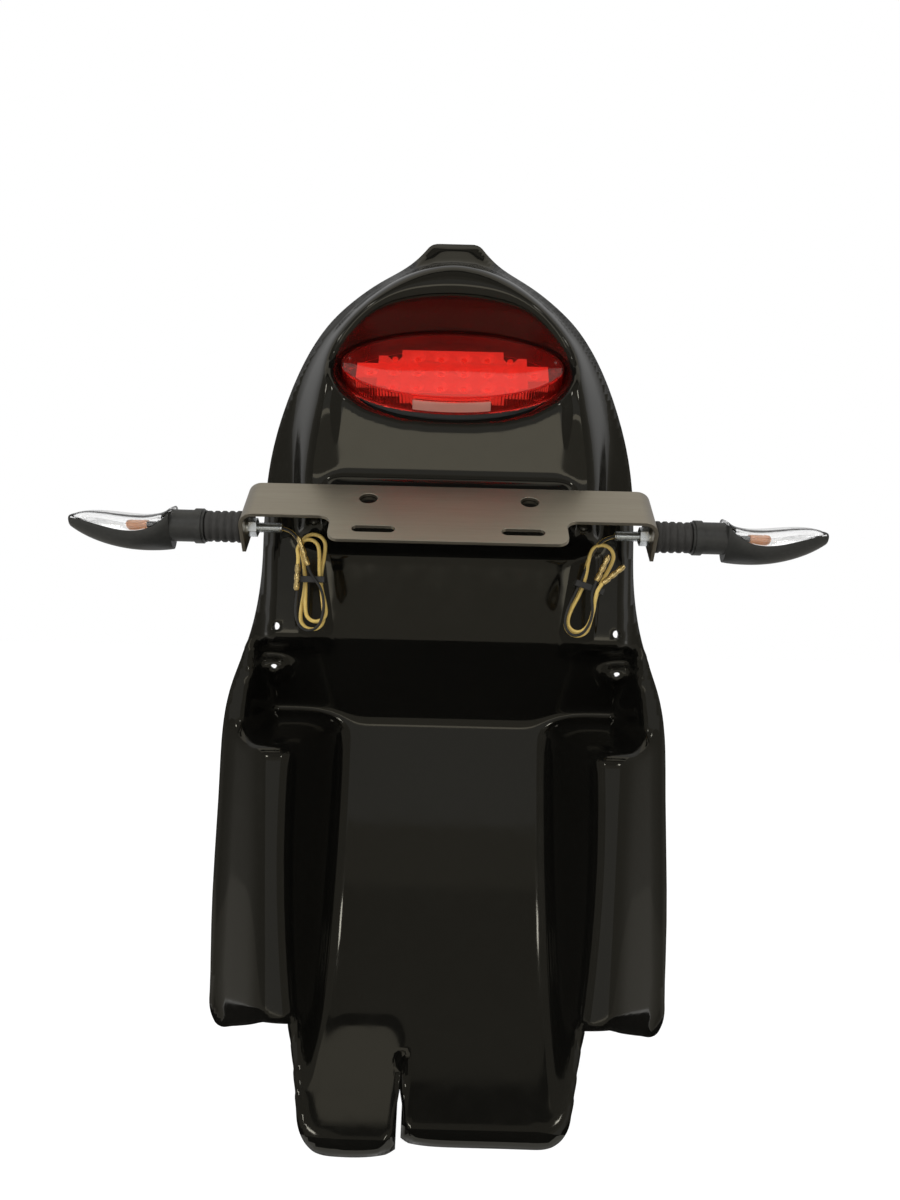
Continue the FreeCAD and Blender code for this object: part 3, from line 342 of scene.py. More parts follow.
def smooth_copy(node: str, finish: Finish, sharp_angle: float = SHARP_ANGLE,
                edge: float = 0.0) -> bpy.types.Object:
    """Stands a smoothly shaded copy of a node in its place, with its edges broken.

    Args:
        node: The node's name.
        finish: The copy's finish.
        sharp_angle: The angle in degrees past which an edge stays sharp.
        edge: The width of the broken edges, or 0 for none.

    Returns:
        The dressed copy.
    """
    mesh = merged_node(node)
    bmesh.ops.dissolve_limit(mesh, angle_limit=math.radians(FLAT_ANGLE), verts=mesh.verts, edges=mesh.edges)
    piece = to_object(f"dressed_{node}", mesh, sharp_angle)
    if edge:
        breaks = piece.modifiers.new("broken_edges", "BEVEL")
        breaks.width, breaks.segments, breaks.limit_method = edge, EDGE_SEGMENTS, "ANGLE"
        breaks.angle_limit = math.radians(sharp_angle)
    return dress(piece, finish, node)


@dataclass(frozen=True)
class Levels:
    """How bright a thing is for light that only falls, for the eye or through glass, and in gloss."""

    unseen: float
    seen: float
    glossy: float


@dataclass(frozen=True)
class Lamp:
    """One soft rectangular light, turned towards the part."""

    name: str
    place: Place
    watts: float
    width: float
    height: float


@dataclass(frozen=True)
class Card:
    """One card that only shows as a reflection, lying flat or standing on edge beside the part."""

    name: str
    glow: float
    size: tuple[float, float]
    place: Place
    upright: bool = False


@dataclass
class Studio:
    """The camera at the photograph's place, a white room with cards, soft lights and a floor."""

    camera_place: Place = (0.0025, -0.745, 0.025)
    focal_pixels: float = 901.0
    roll_deg: float = -1.4
    sensor: float = 24.0
    nearest: float = 0.01
    room: Levels = Levels(0.45, 1.0, 0.42)
    floor: Levels = Levels(0.0, 0.7, 0.5)
    floor_grey: float = 0.8
    floor_glow: float = 1.35
    floor_half: float = 6.0
    floor_gap: float = 0.5 * MM
    card_gap: float = 10 * MM
    card_tint: Colour = (1.0, 0.96, 0.86)
    ceiling: float = 1.2

    def build(self) -> None:
        """Makes the whole studio."""
        self._camera()
        self._room()
        self._lights()
        self._floor()
        self._cards()
        bpy.context.scene.view_settings.view_transform = "Standard"

    def _camera(self) -> None:
        """Stands the camera where the photograph was taken."""
        lens = bpy.data.cameras.new("photo_camera")
        lens.sensor_fit = "VERTICAL"
        lens.sensor_height = self.sensor
        lens.lens = self.focal_pixels / PHOTO_HEIGHT * self.sensor
        lens.clip_start = self.nearest
        camera = bpy.data.objects.new("photo_camera", lens)
        camera.location = self.camera_place
        camera.rotation_euler = (QUARTER_TURN, math.radians(self.roll_deg), 0.0)
        bpy.context.scene.collection.objects.link(camera)
        bpy.context.scene.camera = camera

    def _room(self) -> None:
        """Makes the world white to the camera and through glass, and soft grey in gloss and as a light."""
        world = bpy.data.worlds.new("white_room")
        world.use_nodes = True
        bpy.context.scene.world = world
        nodes, links = world.node_tree.nodes, world.node_tree.links
        back = nodes["Background"]
        back.inputs["Color"].default_value = (1.0, 1.0, 1.0, 1.0)
        links.new(seen_white(nodes, links, self.room), back.inputs["Strength"])

    def _lights(self) -> None:
        """Hangs a wide soft light above the part, a weaker one on the left and two small ones for edges."""
        for lamp in (Lamp("ceiling_light", (0.1, -1.0, 1.5), 11.0, 2.2, 1.0),
                     Lamp("window_light", (-1.5, -1.0, 0.5), 7.0, 0.9, 0.9),
                     Lamp("left_edge_light", (-0.75, -1.05, 0.75), 0.8, 0.15, 0.15),
                     Lamp("right_edge_light", (0.75, -1.05, 0.75), 0.8, 0.15, 0.15)):
            data = bpy.data.lights.new(lamp.name, "AREA")
            data.shape = "RECTANGLE"
            data.energy, data.size, data.size_y = lamp.watts, lamp.width, lamp.height
            light = bpy.data.objects.new(lamp.name, data)
            light.location = lamp.place
            light.rotation_euler = (-Vector(lamp.place)).to_track_quat("-Z", "Y").to_euler()
            bpy.context.scene.collection.objects.link(light)

    def _floor(self) -> None:
        """Lays the pale floor under the part's foot."""
        mesh = bmesh.new()
        bmesh.ops.create_grid(mesh, x_segments=1, y_segments=1, size=self.floor_half)
        bmesh.ops.translate(mesh, verts=mesh.verts, vec=(0.0, 0.0, CAD_BOX[0][2] - self.floor_gap))
        floor = to_object("pale_floor", mesh)
        material = bpy.data.materials.new("pale_floor")
        material.use_nodes = True
        nodes, links = material.node_tree.nodes, material.node_tree.links
        matt, glow = nodes.new("ShaderNodeBsdfDiffuse"), nodes.new("ShaderNodeEmission")
        mix = nodes.new("ShaderNodeMixShader")
        matt.inputs["Color"].default_value = (*[self.floor_grey] * 3, 1.0)
        glow.inputs["Strength"].default_value = self.floor_glow
        links.new(seen_white(nodes, links, self.floor), mix.inputs["Fac"])
        links.new(matt.outputs["BSDF"], mix.inputs[1])
        links.new(glow.outputs["Emission"], mix.inputs[2])
        links.new(mix.outputs["Shader"], nodes["Material Output"].inputs["Surface"])
        floor.data.materials.append(material)

    def _cards(self) -> None:
        """Sets the cards round the part, which give the gloss its dark and pale fields."""
        low, high = CAD_BOX[0][2] + self.card_gap, self.ceiling
        for card in (Card("near_floor_card", 0.03, (0.7, 0.42), (0.0, -0.09, low)),
                     Card("middle_floor_card", 0.38, (2.4, 1.6), (0.0, -1.1, low)),
                     Card("far_floor_card", 1.7, (4.0, 4.0), (0.0, -4.0, low)),
                     Card("left_floor_card", 0.35, (1.5, 1.3), (-1.11, 0.35, low)),
                     Card("right_floor_card", 0.35, (1.5, 1.3), (1.11, 0.35, low)),
                     Card("far_ceiling_card", 0.33, (3.4, 1.0), (0.0, -2.5, high)),
                     Card("front_ceiling_card", 0.24, (2.6, 1.25), (0.0, -1.375, high)),
                     Card("middle_ceiling_card", 0.06, (2.6, 0.23), (0.0, -0.635, high)),
                     Card("rear_ceiling_card", 0.7, (2.6, 0.82), (0.0, -0.11, high)),
                     Card("left_card", 0.24, (1.2, 1.6), (-0.95, -0.6, 0.2), upright=True),
                     Card("right_card", 0.28, (1.2, 1.6), (0.95, -0.6, 0.2), upright=True)):
            self._card(card)

    def _card(self, card: Card) -> None:
        """Makes one card.

        Args:
            card: The card's facts.
        """
        mesh = bmesh.new()
        bmesh.ops.create_grid(mesh, x_segments=1, y_segments=1, size=HALF_UNIT)
        bmesh.ops.scale(mesh, verts=mesh.verts, vec=(*card.size, 1.0))
        turn = QUARTER_TURN if card.upright else 0.0
        bmesh.ops.rotate(mesh, verts=mesh.verts, matrix=Matrix.Rotation(turn, 3, "Y"))
        bmesh.ops.translate(mesh, verts=mesh.verts, vec=card.place)
        made = to_object(card.name, mesh)
        made.data.materials.append(self._dim(card.name, card.glow))
        made.visible_camera = made.visible_diffuse = False
        made.visible_shadow = made.visible_transmission = False

    def _dim(self, name: str, glow: float) -> bpy.types.Material:
        """Gives a card's dim material.

        Args:
            name: The material's name.
            glow: How bright the card looks in a reflection.

        Returns:
            The material.
        """
        material = bpy.data.materials.new(name)
        material.use_nodes = True
        nodes, links = material.node_tree.nodes, material.node_tree.links
        light = nodes.new("ShaderNodeEmission")
        light.inputs["Color"].default_value = (*self.card_tint, 1.0)
        light.inputs["Strength"].default_value = glow
        links.new(light.outputs["Emission"], nodes["Material Output"].inputs["Surface"])
        return material


def seen_white(nodes: bpy.types.Nodes, links: bpy.types.NodeLinks, levels: Levels) -> bpy.types.NodeSocket:
    """Gives a value by what looks at it: the camera or glass, a glossy surface, or light that only falls.

    Args:
        nodes: The tree's nodes.
        links: The tree's links.
        levels: The value for each of them.

    Returns:
        The socket with that value.
    """
    path = nodes.new("ShaderNodeLightPath")
    total = nodes.new("ShaderNodeValue").outputs["Value"]
    total.default_value = levels.unseen
    for ray, level in (("Is Camera Ray", levels.seen), ("Is Glossy Ray", levels.glossy),
                       ("Is Transmission Ray", levels.seen)):
        share, most = nodes.new("ShaderNodeMath"), nodes.new("ShaderNodeMath")
        share.operation, most.operation = "MULTIPLY", "MAXIMUM"
        share.inputs[1].default_value = level
        links.new(path.outputs[ray], share.inputs[0])
        links.new(total, most.inputs[0])
        links.new(share.outputs["Value"], most.inputs[1])
        total = most.outputs["Value"]
    return total


@dataclass
class UndertailShell:
    """The glossy moulded shell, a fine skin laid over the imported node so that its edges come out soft."""

    pitch: float = 2.6 * MM
    margin_cells: int = 4
    wall: float = 3.0 * MM
    sharp_angle: float = 60.0
    ease: float = 0.5
    rounds: int = 9
    lower_rounds: int = 12
    soft_below: float = -45 * MM
    rim_rounds: int = 90
    slit_search: float = 5.0 * MM
    flange_rows: int = 3
    flange_rounds: int = 12
    rim_slides: int = 2
    reach: float = 1.0
    hole_radius: float = 3.25 * MM
    hole_margin: float = 2.0
    search_cells: int = 2
    search_directions: int = 16
    search_parts: int = 4
    search_steps: int = 7
    least_run: float = 0.1 * MM
    tree: BVHTree | None = field(default=None, init=False)

    def build(self) -> bpy.types.Object:
        """Makes the shell.

        Returns:
            The dressed shell.
        """
        source = merged_node("undertail_shell")
        self.tree = BVHTree.FromBMesh(source)
        source.free()
        skin = self._sheet()
        self._drape(skin)
        self._drill(skin)
        self._soften(skin)
        self._meet_outline(skin)
        self._even_rim(skin)
        bmesh.ops.recalc_face_normals(skin, faces=skin.faces)
        if sum(face.normal.y for face in skin.faces) > 0:
            bmesh.ops.reverse_faces(skin, faces=skin.faces)
        shell = to_object("gelcoat_shell", skin, self.sharp_angle)
        wall = shell.modifiers.new("laminate", "SOLIDIFY")
        wall.thickness, wall.offset = self.wall, INWARD
        return dress(shell, Finishes.GELCOAT, "undertail_shell")

    def _front(self, x: float, z: float) -> float | None:
        """Gives the front surface's Y at a place, or None beside the shell.

        Args:
            x: The place across.
            z: The place along.

        Returns:
            The first Y met from the camera's side.
        """
        hit = self.tree.ray_cast(Vector((x, -self.reach, z)), Vector((0.0, 1.0, 0.0)))[0]
        return None if hit is None else hit.y

    def _sheet(self) -> bmesh.types.BMesh:
        """Gives a flat grid that covers the shell's box, standing in the XZ plane.

        Returns:
            The grid.
        """
        low, high = (Vector(corner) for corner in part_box("undertail_shell"))
        size = high - low + Vector((self.margin_cells, 0, self.margin_cells)) * self.pitch
        sheet = bmesh.new()
        bmesh.ops.create_grid(sheet, x_segments=round(size.x / self.pitch),
                              y_segments=round(size.z / self.pitch), size=HALF_UNIT)
        bmesh.ops.scale(sheet, verts=sheet.verts, vec=(size.x, size.z, 1.0))
        bmesh.ops.rotate(sheet, verts=sheet.verts, matrix=Matrix.Rotation(QUARTER_TURN, 3, "X"))
        bmesh.ops.translate(sheet, verts=sheet.verts, vec=((low.x + high.x) / 2, 0.0, (low.z + high.z) / 2))
        return sheet

    def _drape(self, skin: bmesh.types.BMesh) -> None:
        """Lays the grid on the shell, drops what lies beside it and bridges the small holes.

        Args:
            skin: The flat grid.
        """
        missed = set()
        for point in skin.verts:
            height = self._front(point.co.x, point.co.z)
            if height is None:
                missed.add(point)
            else:
                point.co.y = height
        outside = {point for point in missed if point.is_boundary}
        edge = list(outside)
        while edge:
            point = edge.pop()
            for link in point.link_edges:
                other = link.other_vert(point)
                if other in missed and other not in outside:
                    outside.add(other)
                    edge.append(other)
        inside = missed - outside
        while inside:
            for point in sorted(inside, key=lambda item: item.index):
                known = [link.other_vert(point).co.y for link in point.link_edges
                         if link.other_vert(point) not in inside]
                if known:
                    point.co.y = sum(known) / len(known)
                    inside.discard(point)
        bmesh.ops.delete(skin, geom=list(outside), context="VERTS")
        loose = [point for point in skin.verts if not point.link_faces]
        bmesh.ops.delete(skin, geom=loose, context="VERTS")

    def _holes(self) -> list[Vector]:
        """Gives the middles of the four fixing holes.

        Returns:
            The middles, as X and Z.
        """
        return [Vector((side.value * mount["dims"]["spacing_x_mm"] / 2 * MM, mount["pos_m"][2]))
                for mount in frame["record"]["mounts"] if mount["name"].endswith("_fixings") for side in Side]

    def _drill(self, skin: bmesh.types.BMesh) -> None:
        """Opens the four fixing holes.

        Args:
            skin: The draped skin.
        """
        for middle in self._holes():
            self._open_hole(skin, middle)

    def _outer_rim(self, skin: bmesh.types.BMesh) -> list[bmesh.types.BMVert]:
        """Gives the points of the skin's edge without those round the fixing holes.

        Args:
            skin: The drilled skin.

        Returns:
            The edge's points.
        """
        holes, clear = self._holes(), self.hole_margin * self.hole_radius
        return [point for point in skin.verts if point.is_boundary
                and all((Vector((point.co.x, point.co.z)) - hole).length > clear for hole in holes)]

    def _open_hole(self, skin: bmesh.types.BMesh, middle: Vector) -> None:
        """Opens one round hole.

        Args:
            skin: The draped skin.
            middle: The hole's middle, as X and Z.
        """
        def offset(spot: Vector) -> Vector:
            """Gives a place as seen from the hole's middle."""
            return Vector((spot.x, spot.z)) - middle

        near = [face for face in skin.faces if offset(face.calc_center_median()).length < self.hole_radius]
        rim = {point for face in near for point in face.verts}
        bmesh.ops.delete(skin, geom=near, context="FACES")
        for point in rim:
            if point.is_valid:
                spoke = offset(point.co)
                spot = middle + spoke.normalized() * self.hole_radius
                point.co.x, point.co.z = spot.x, spot.y

    def _soften(self, skin: bmesh.types.BMesh) -> None:
        """Rounds the moulded edges by easing the skin's depth.

        Args:
            skin: The draped skin.
        """
        lower = [point for point in skin.verts if point.co.z < self.soft_below]
        self._ease_depth(skin, skin.verts, self.rounds)
        self._ease_depth(skin, lower, self.lower_rounds)

    def _ease_depth(self, skin: bmesh.types.BMesh, points: Sequence[bmesh.types.BMVert], rounds: int) -> None:
        """Evens the depth of some of the skin's points with that of their neighbours.

        Args:
            skin: The skin.
            points: The points to ease.
            rounds: How often.
        """
        for _ in range(rounds):
            bmesh.ops.smooth_vert(skin, verts=points, factor=self.ease, use_axis_x=False, use_axis_y=True,
                                  use_axis_z=False)

    def _meet_outline(self, skin: bmesh.types.BMesh) -> None:
        """Carries the skin's edge out to the shell's true outline.

        Args:
            skin: The softened skin.
        """
        moves = {point: self._nearest_edge(Vector((point.co.x, point.co.z)))
                 for point in self._outer_rim(skin)}
        for point, spot in moves.items():
            point.co.x, point.co.z = spot.x, spot.y

    def _even_rim(self, skin: bmesh.types.BMesh) -> None:
        """Evens the skin's outer rim along its own run, so that the sawn edge is straight.

        Args:
            skin: The skin with its edge on the outline.
        """
        sides = {point: [edge.other_vert(point) for edge in point.link_edges if edge.is_boundary]
                 for point in self._outer_rim(skin)}
        slit = {point for point in sides if self._between(point.co)}
        for turn in range(self.rim_rounds):
            moves = {}
            for point, beside in sides.items():
                mean = sum((other.co for other in beside), Vector()) / len(beside)
                moves[point] = point.co.lerp(mean, self.ease)
            for point, spot in moves.items():
                if turn < self.rim_slides and point not in slit:
                    point.co = spot
                else:
                    point.co.y = spot.y
        band = set(sides) - slit
        for _ in range(self.flange_rows):
            band |= {edge.other_vert(point) for point in band for edge in point.link_edges}
        self._ease_depth(skin, list(band - set(sides)), self.flange_rounds)

    def _between(self, spot: Vector) -> bool:
        """Tells whether a place lies in a narrow slit, with the shell on both sides of it.

        Args:
            spot: The place.

        Returns:
            Whether the shell is met a little to the left and to the right.
        """
        return all(self._front(spot.x + way * self.slit_search, spot.z) is not None for way in (-1, 1))

    def _nearest_edge(self, spot: Vector) -> Vector:
        """Gives the outline's point that is nearest to a place just inside it.

        Args:
            spot: The place, as X and Z.

        Returns:
            The point on the outline, as X and Z.
        """
        best, best_run = spot, self.search_cells * self.pitch
        for step in range(self.search_directions):
            turn = FULL_TURN * step / self.search_directions
            way = Vector((math.cos(turn), math.sin(turn)))
            runs = [best_run * part / self.search_parts for part in range(self.search_parts + 1)]
            beside = next((index for index, run in enumerate(runs)
                           if index and self._front(*(spot + run * way)) is None), None)
            if beside is None:
                continue
            inner, outer = runs[beside - 1], runs[beside]
            for _ in range(self.search_steps):
                middle = (inner + outer) / 2
                if self._front(*(spot + middle * way)) is None:
                    outer = middle
                else:
                    inner = middle
            best, best_run = spot + inner * way, max(inner, self.least_run)
        return best


@dataclass
class TailLight:
    """The oval light: a ribbed red lens over a board of diodes, with a clear window in its lower wall."""

    half_width: float = 90 * MM
    half_height: float = 39 * MM
    depth: float = 18 * MM
    wall: float = 2.5 * MM
    rib: float = 0.35 * MM
    segments: int = 360
    edge: float = 1.6 * MM
    edge_share: float = 0.3
    sharp_angle: float = 12.0
    window_half: float = 31 * MM
    window_low: float = 3 * MM
    window_high: float = 13 * MM
    middle: Place = (0.0, -19.5 * MM, 214.6 * MM)
    tilt_deg: float = 55.0

    def build(self) -> None:
        """Makes the light."""
        self._lens()
        smooth_copy("light_gasket", Finishes.GASKET)
        smooth_copy("light_base", Finishes.BASE)
        smooth_copy("light_nuts", Finishes.ZINC, sharp_angle=25.0, edge=0.3 * MM)
        # The board, diodes and window are given painted glow: emission, though the tail light is not lit
        smooth_copy("diode_board", Finishes.BOARD, sharp_angle=30.0)
        smooth_copy("diodes", Finishes.DIODE, sharp_angle=40.0, edge=0.5 * MM)
        smooth_copy("plate_window", Finishes.WINDOW, sharp_angle=30.0)

    def _ring(self, mesh: bmesh.types.BMesh, height: float, inset: float,
              ribbed: bool) -> list[bmesh.types.BMVert]:
        """Adds one oval ring of points.

        Args:
            mesh: The lens's bmesh.
            height: The ring's height from the lens's open back.
            inset: How far it lies inside the full oval.
            ribbed: Whether every second point stands back to make the ribs.

        Returns:
            The ring's points in order.
        """
        made = bmesh.ops.create_circle(mesh, cap_ends=False, segments=self.segments, radius=1.0)["verts"]
        for index, point in enumerate(made):
            back = inset + (self.rib if ribbed and index % 2 else 0.0)
            point.co = (point.co.x * (self.half_width - back), point.co.y * (self.half_height - back), height)
        return made

    def _lens(self) -> bpy.types.Object:
        """Makes the lens: a ribbed wall with the window's opening, a rounded edge and a smooth front.

        Returns:
            The dressed lens.
        """
        mesh = bmesh.new()
        corner = self.edge_share * self.edge
        levels = [(0.0, 0.0, True), (self.window_low, 0.0, True), (self.window_high, 0.0, True),
                  (self.depth - self.edge, 0.0, True), (self.depth - corner, corner, False),
                  (self.depth, self.edge, False)]
        rings = [self._ring(mesh, *level) for level in levels]
        for lower, upper in zip(rings, rings[1:]):
            both = set(lower) | set(upper)
            edges = [edge for edge in mesh.edges if all(point in both for point in edge.verts)]
            bmesh.ops.bridge_loops(mesh, edges=edges)
        bmesh.ops.contextual_create(mesh, geom=rings[-1])
        bmesh.ops.recalc_face_normals(mesh, faces=mesh.faces)
        opening = []
        for face in mesh.faces:
            spot = face.calc_center_median()
            if spot.y < 0 and abs(spot.x) < self.window_half and self.window_low < spot.z < self.window_high:
                opening.append(face)
        bmesh.ops.delete(mesh, geom=opening, context="FACES")
        back = Matrix.Translation((0.0, 0.0, -self.depth))
        bmesh.ops.transform(mesh, verts=mesh.verts, matrix=self._place() @ back)
        lens = to_object("ribbed_lens", mesh, self.sharp_angle)
        thick = lens.modifiers.new("lens_wall", "SOLIDIFY")
        thick.thickness, thick.offset = self.wall, INWARD
        return dress(lens, Finishes.RED, "light_lens")

    def _place(self) -> Matrix:
        """Gives the lens's frame: its front's middle at the origin, facing along Z.

        Returns:
            The frame's matrix.
        """
        return Matrix.Translation(self.middle) @ Matrix.Rotation(math.radians(self.tilt_deg), 4, "X")


@dataclass
class PlateBracket:
    """The folded aluminium bracket that carries the number plate and the indicators."""

    edge: float = 0.5 * MM

    def build(self) -> None:
        """Makes the bracket."""
        smooth_copy("plate_bracket", Finishes.ALUMINIUM, sharp_angle=30.0, edge=self.edge)


@dataclass
class Indicators:
    """The two indicators with their threaded studs, washers and nuts."""

    THREAD: ClassVar[tuple[tuple[float, bool], ...]] = (
        (0.0, False), (0.15, False), (0.45, True), (0.6, True), (0.9, False), (1.0, False))
    PIECES: ClassVar[dict[str, Finish]] = {
        "stem": Finishes.RUBBER, "collar": Finishes.SATIN, "body": Finishes.SATIN,
        "reflector": Finishes.CHROME, "lens": Finishes.CLEAR, "holder": Finishes.SATIN,
        "bulb": Finishes.AMBER}

    stud_radius: float = 4 * MM
    bore_radius: float = 3 * MM
    thread_pitch: float = 1.25 * MM
    thread_depth: float = 0.6 * MM
    steps_per_turn: int = 24
    piece_angle: float = 32.0
    stud_angle: float = 50.0

    def build(self) -> None:
        """Makes both indicators and their fixings."""
        self._studs()
        smooth_copy("indicator_washers", Finishes.ZINC, sharp_angle=30.0, edge=0.2 * MM)
        smooth_copy("indicator_nuts", Finishes.ZINC, sharp_angle=25.0, edge=0.5 * MM)
        for side in Side:
            for name, finish in self.PIECES.items():
                smooth_copy(f"{side.word}_indicator_{name}", finish, self.piece_angle)

    def _studs(self) -> bpy.types.Object:
        """Makes the two hollow studs, each with a thread wound round it.

        Returns:
            The dressed pair.
        """
        low, high = (Vector(corner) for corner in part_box("indicator_studs"))
        inner = min(abs(point.co.x) for point in frame["nodes"]["indicator_studs"].data.vertices)
        middle = (low + high) / 2
        mesh = bmesh.new()
        for side in Side:
            start = Vector((side.value * inner, middle.y, middle.z))
            self._one_stud(mesh, start, side.value, high.x - inner)
        bmesh.ops.remove_doubles(mesh, verts=mesh.verts, dist=MERGE_DISTANCE)
        bmesh.ops.recalc_face_normals(mesh, faces=mesh.faces)
        studs = to_object("threaded_studs", mesh, self.stud_angle)
        return dress(studs, Finishes.ZINC, "indicator_studs")

    def _one_stud(self, mesh: bmesh.types.BMesh, start: Vector, way: int, length: float) -> None:
        """Winds one thread and closes it on the stud's bore.

        Args:
            mesh: The bmesh that takes the stud.
            start: The middle of the stud's inner end.
            way: The sign of X along which it runs.
            length: The stud's length.
        """
        turns = int(length / self.thread_pitch) - 1
        root = self.stud_radius - self.thread_depth
        points = [mesh.verts.new(start + Vector((way * along * self.thread_pitch, 0.0,
                                                 self.stud_radius if crest else root)))
                  for along, crest in self.THREAD]
        edges = [mesh.edges.new(pair) for pair in zip(points, points[1:])]
        bmesh.ops.spin(mesh, geom=points + edges, cent=start, axis=(way, 0.0, 0.0), angle=FULL_TURN * turns,
                       dvec=(way * self.thread_pitch / self.steps_per_turn, 0.0, 0.0),
                       steps=turns * self.steps_per_turn, use_merge=False)
        rings = []
        for along, radius in ((0.0, root), (0.0, self.bore_radius), (length, self.bore_radius),
                              (length, root)):
            ring = bmesh.ops.create_circle(mesh, cap_ends=False, segments=self.steps_per_turn,
                                           radius=radius)["verts"]
            place = Matrix.Translation(start + Vector((way * along, 0.0, 0.0)))
            bmesh.ops.transform(mesh, verts=ring, matrix=place @ Matrix.Rotation(QUARTER_TURN, 4, "Y"))
            rings.append(ring)
        for first, second in zip(rings, rings[1:] + rings[:1]):
            both = set(first) | set(second)
            ring_edges = list({edge for point in both for edge in point.link_edges
                               if all(end in both for end in edge.verts)})
            bmesh.ops.bridge_loops(mesh, edges=ring_edges)


@dataclass
class Bullet:
    """One brass bullet terminal, from its rear end to its tip."""

    PROFILE: ClassVar[tuple[tuple[float, float], ...]] = (
        (0.0, 0.0), (0.0, 0.72), (0.05, 0.95), (0.26, 1.0), (0.3, 0.74), (0.36, 0.74), (0.4, 1.0),
        (0.56, 1.0), (0.6, 0.8), (0.68, 0.8), (0.72, 0.98), (0.9, 0.95), (0.97, 0.62), (1.0, 0.0))

    rear: Vector
    tip: Vector
    radius: float = 2.2 * MM
    steps: int = 24

    def build(self, name: str, node: str) -> bpy.types.Object:
        """Makes the terminal: a crimped barrel, a neck and a rounded tip.

        Args:
            name: The object's name.
            node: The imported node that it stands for.

        Returns:
            The dressed terminal.
        """
        run = self.tip - self.rear
        mesh = bmesh.new()
        points = [mesh.verts.new((share * self.radius, 0.0, along * run.length))
                  for along, share in self.PROFILE]
        edges = [mesh.edges.new(pair) for pair in zip(points, points[1:])]
        bmesh.ops.spin(mesh, geom=points + edges, cent=(0, 0, 0), axis=(0, 0, 1), angle=FULL_TURN,
                       steps=self.steps, use_merge=True)
        bmesh.ops.remove_doubles(mesh, verts=mesh.verts, dist=MERGE_DISTANCE)
        bmesh.ops.recalc_face_normals(mesh, faces=mesh.faces)
        turn = Matrix.Translation(self.rear) @ run.to_track_quat("Z", "Y").to_matrix().to_4x4()
        bmesh.ops.transform(mesh, verts=mesh.verts, matrix=turn)
        return dress(to_object(name, mesh), Finishes.BRASS, node)


@dataclass
class Lead:
    """One insulated lead: from the stud's bore to the hank, round its loops and into its bullet."""

    name: str
    finish: Finish
    radius: float
    depth: float
    ending: list[Place]
    turns: int = 0
    loop_radius: float = 0.0
    depth_step: float = 0.0


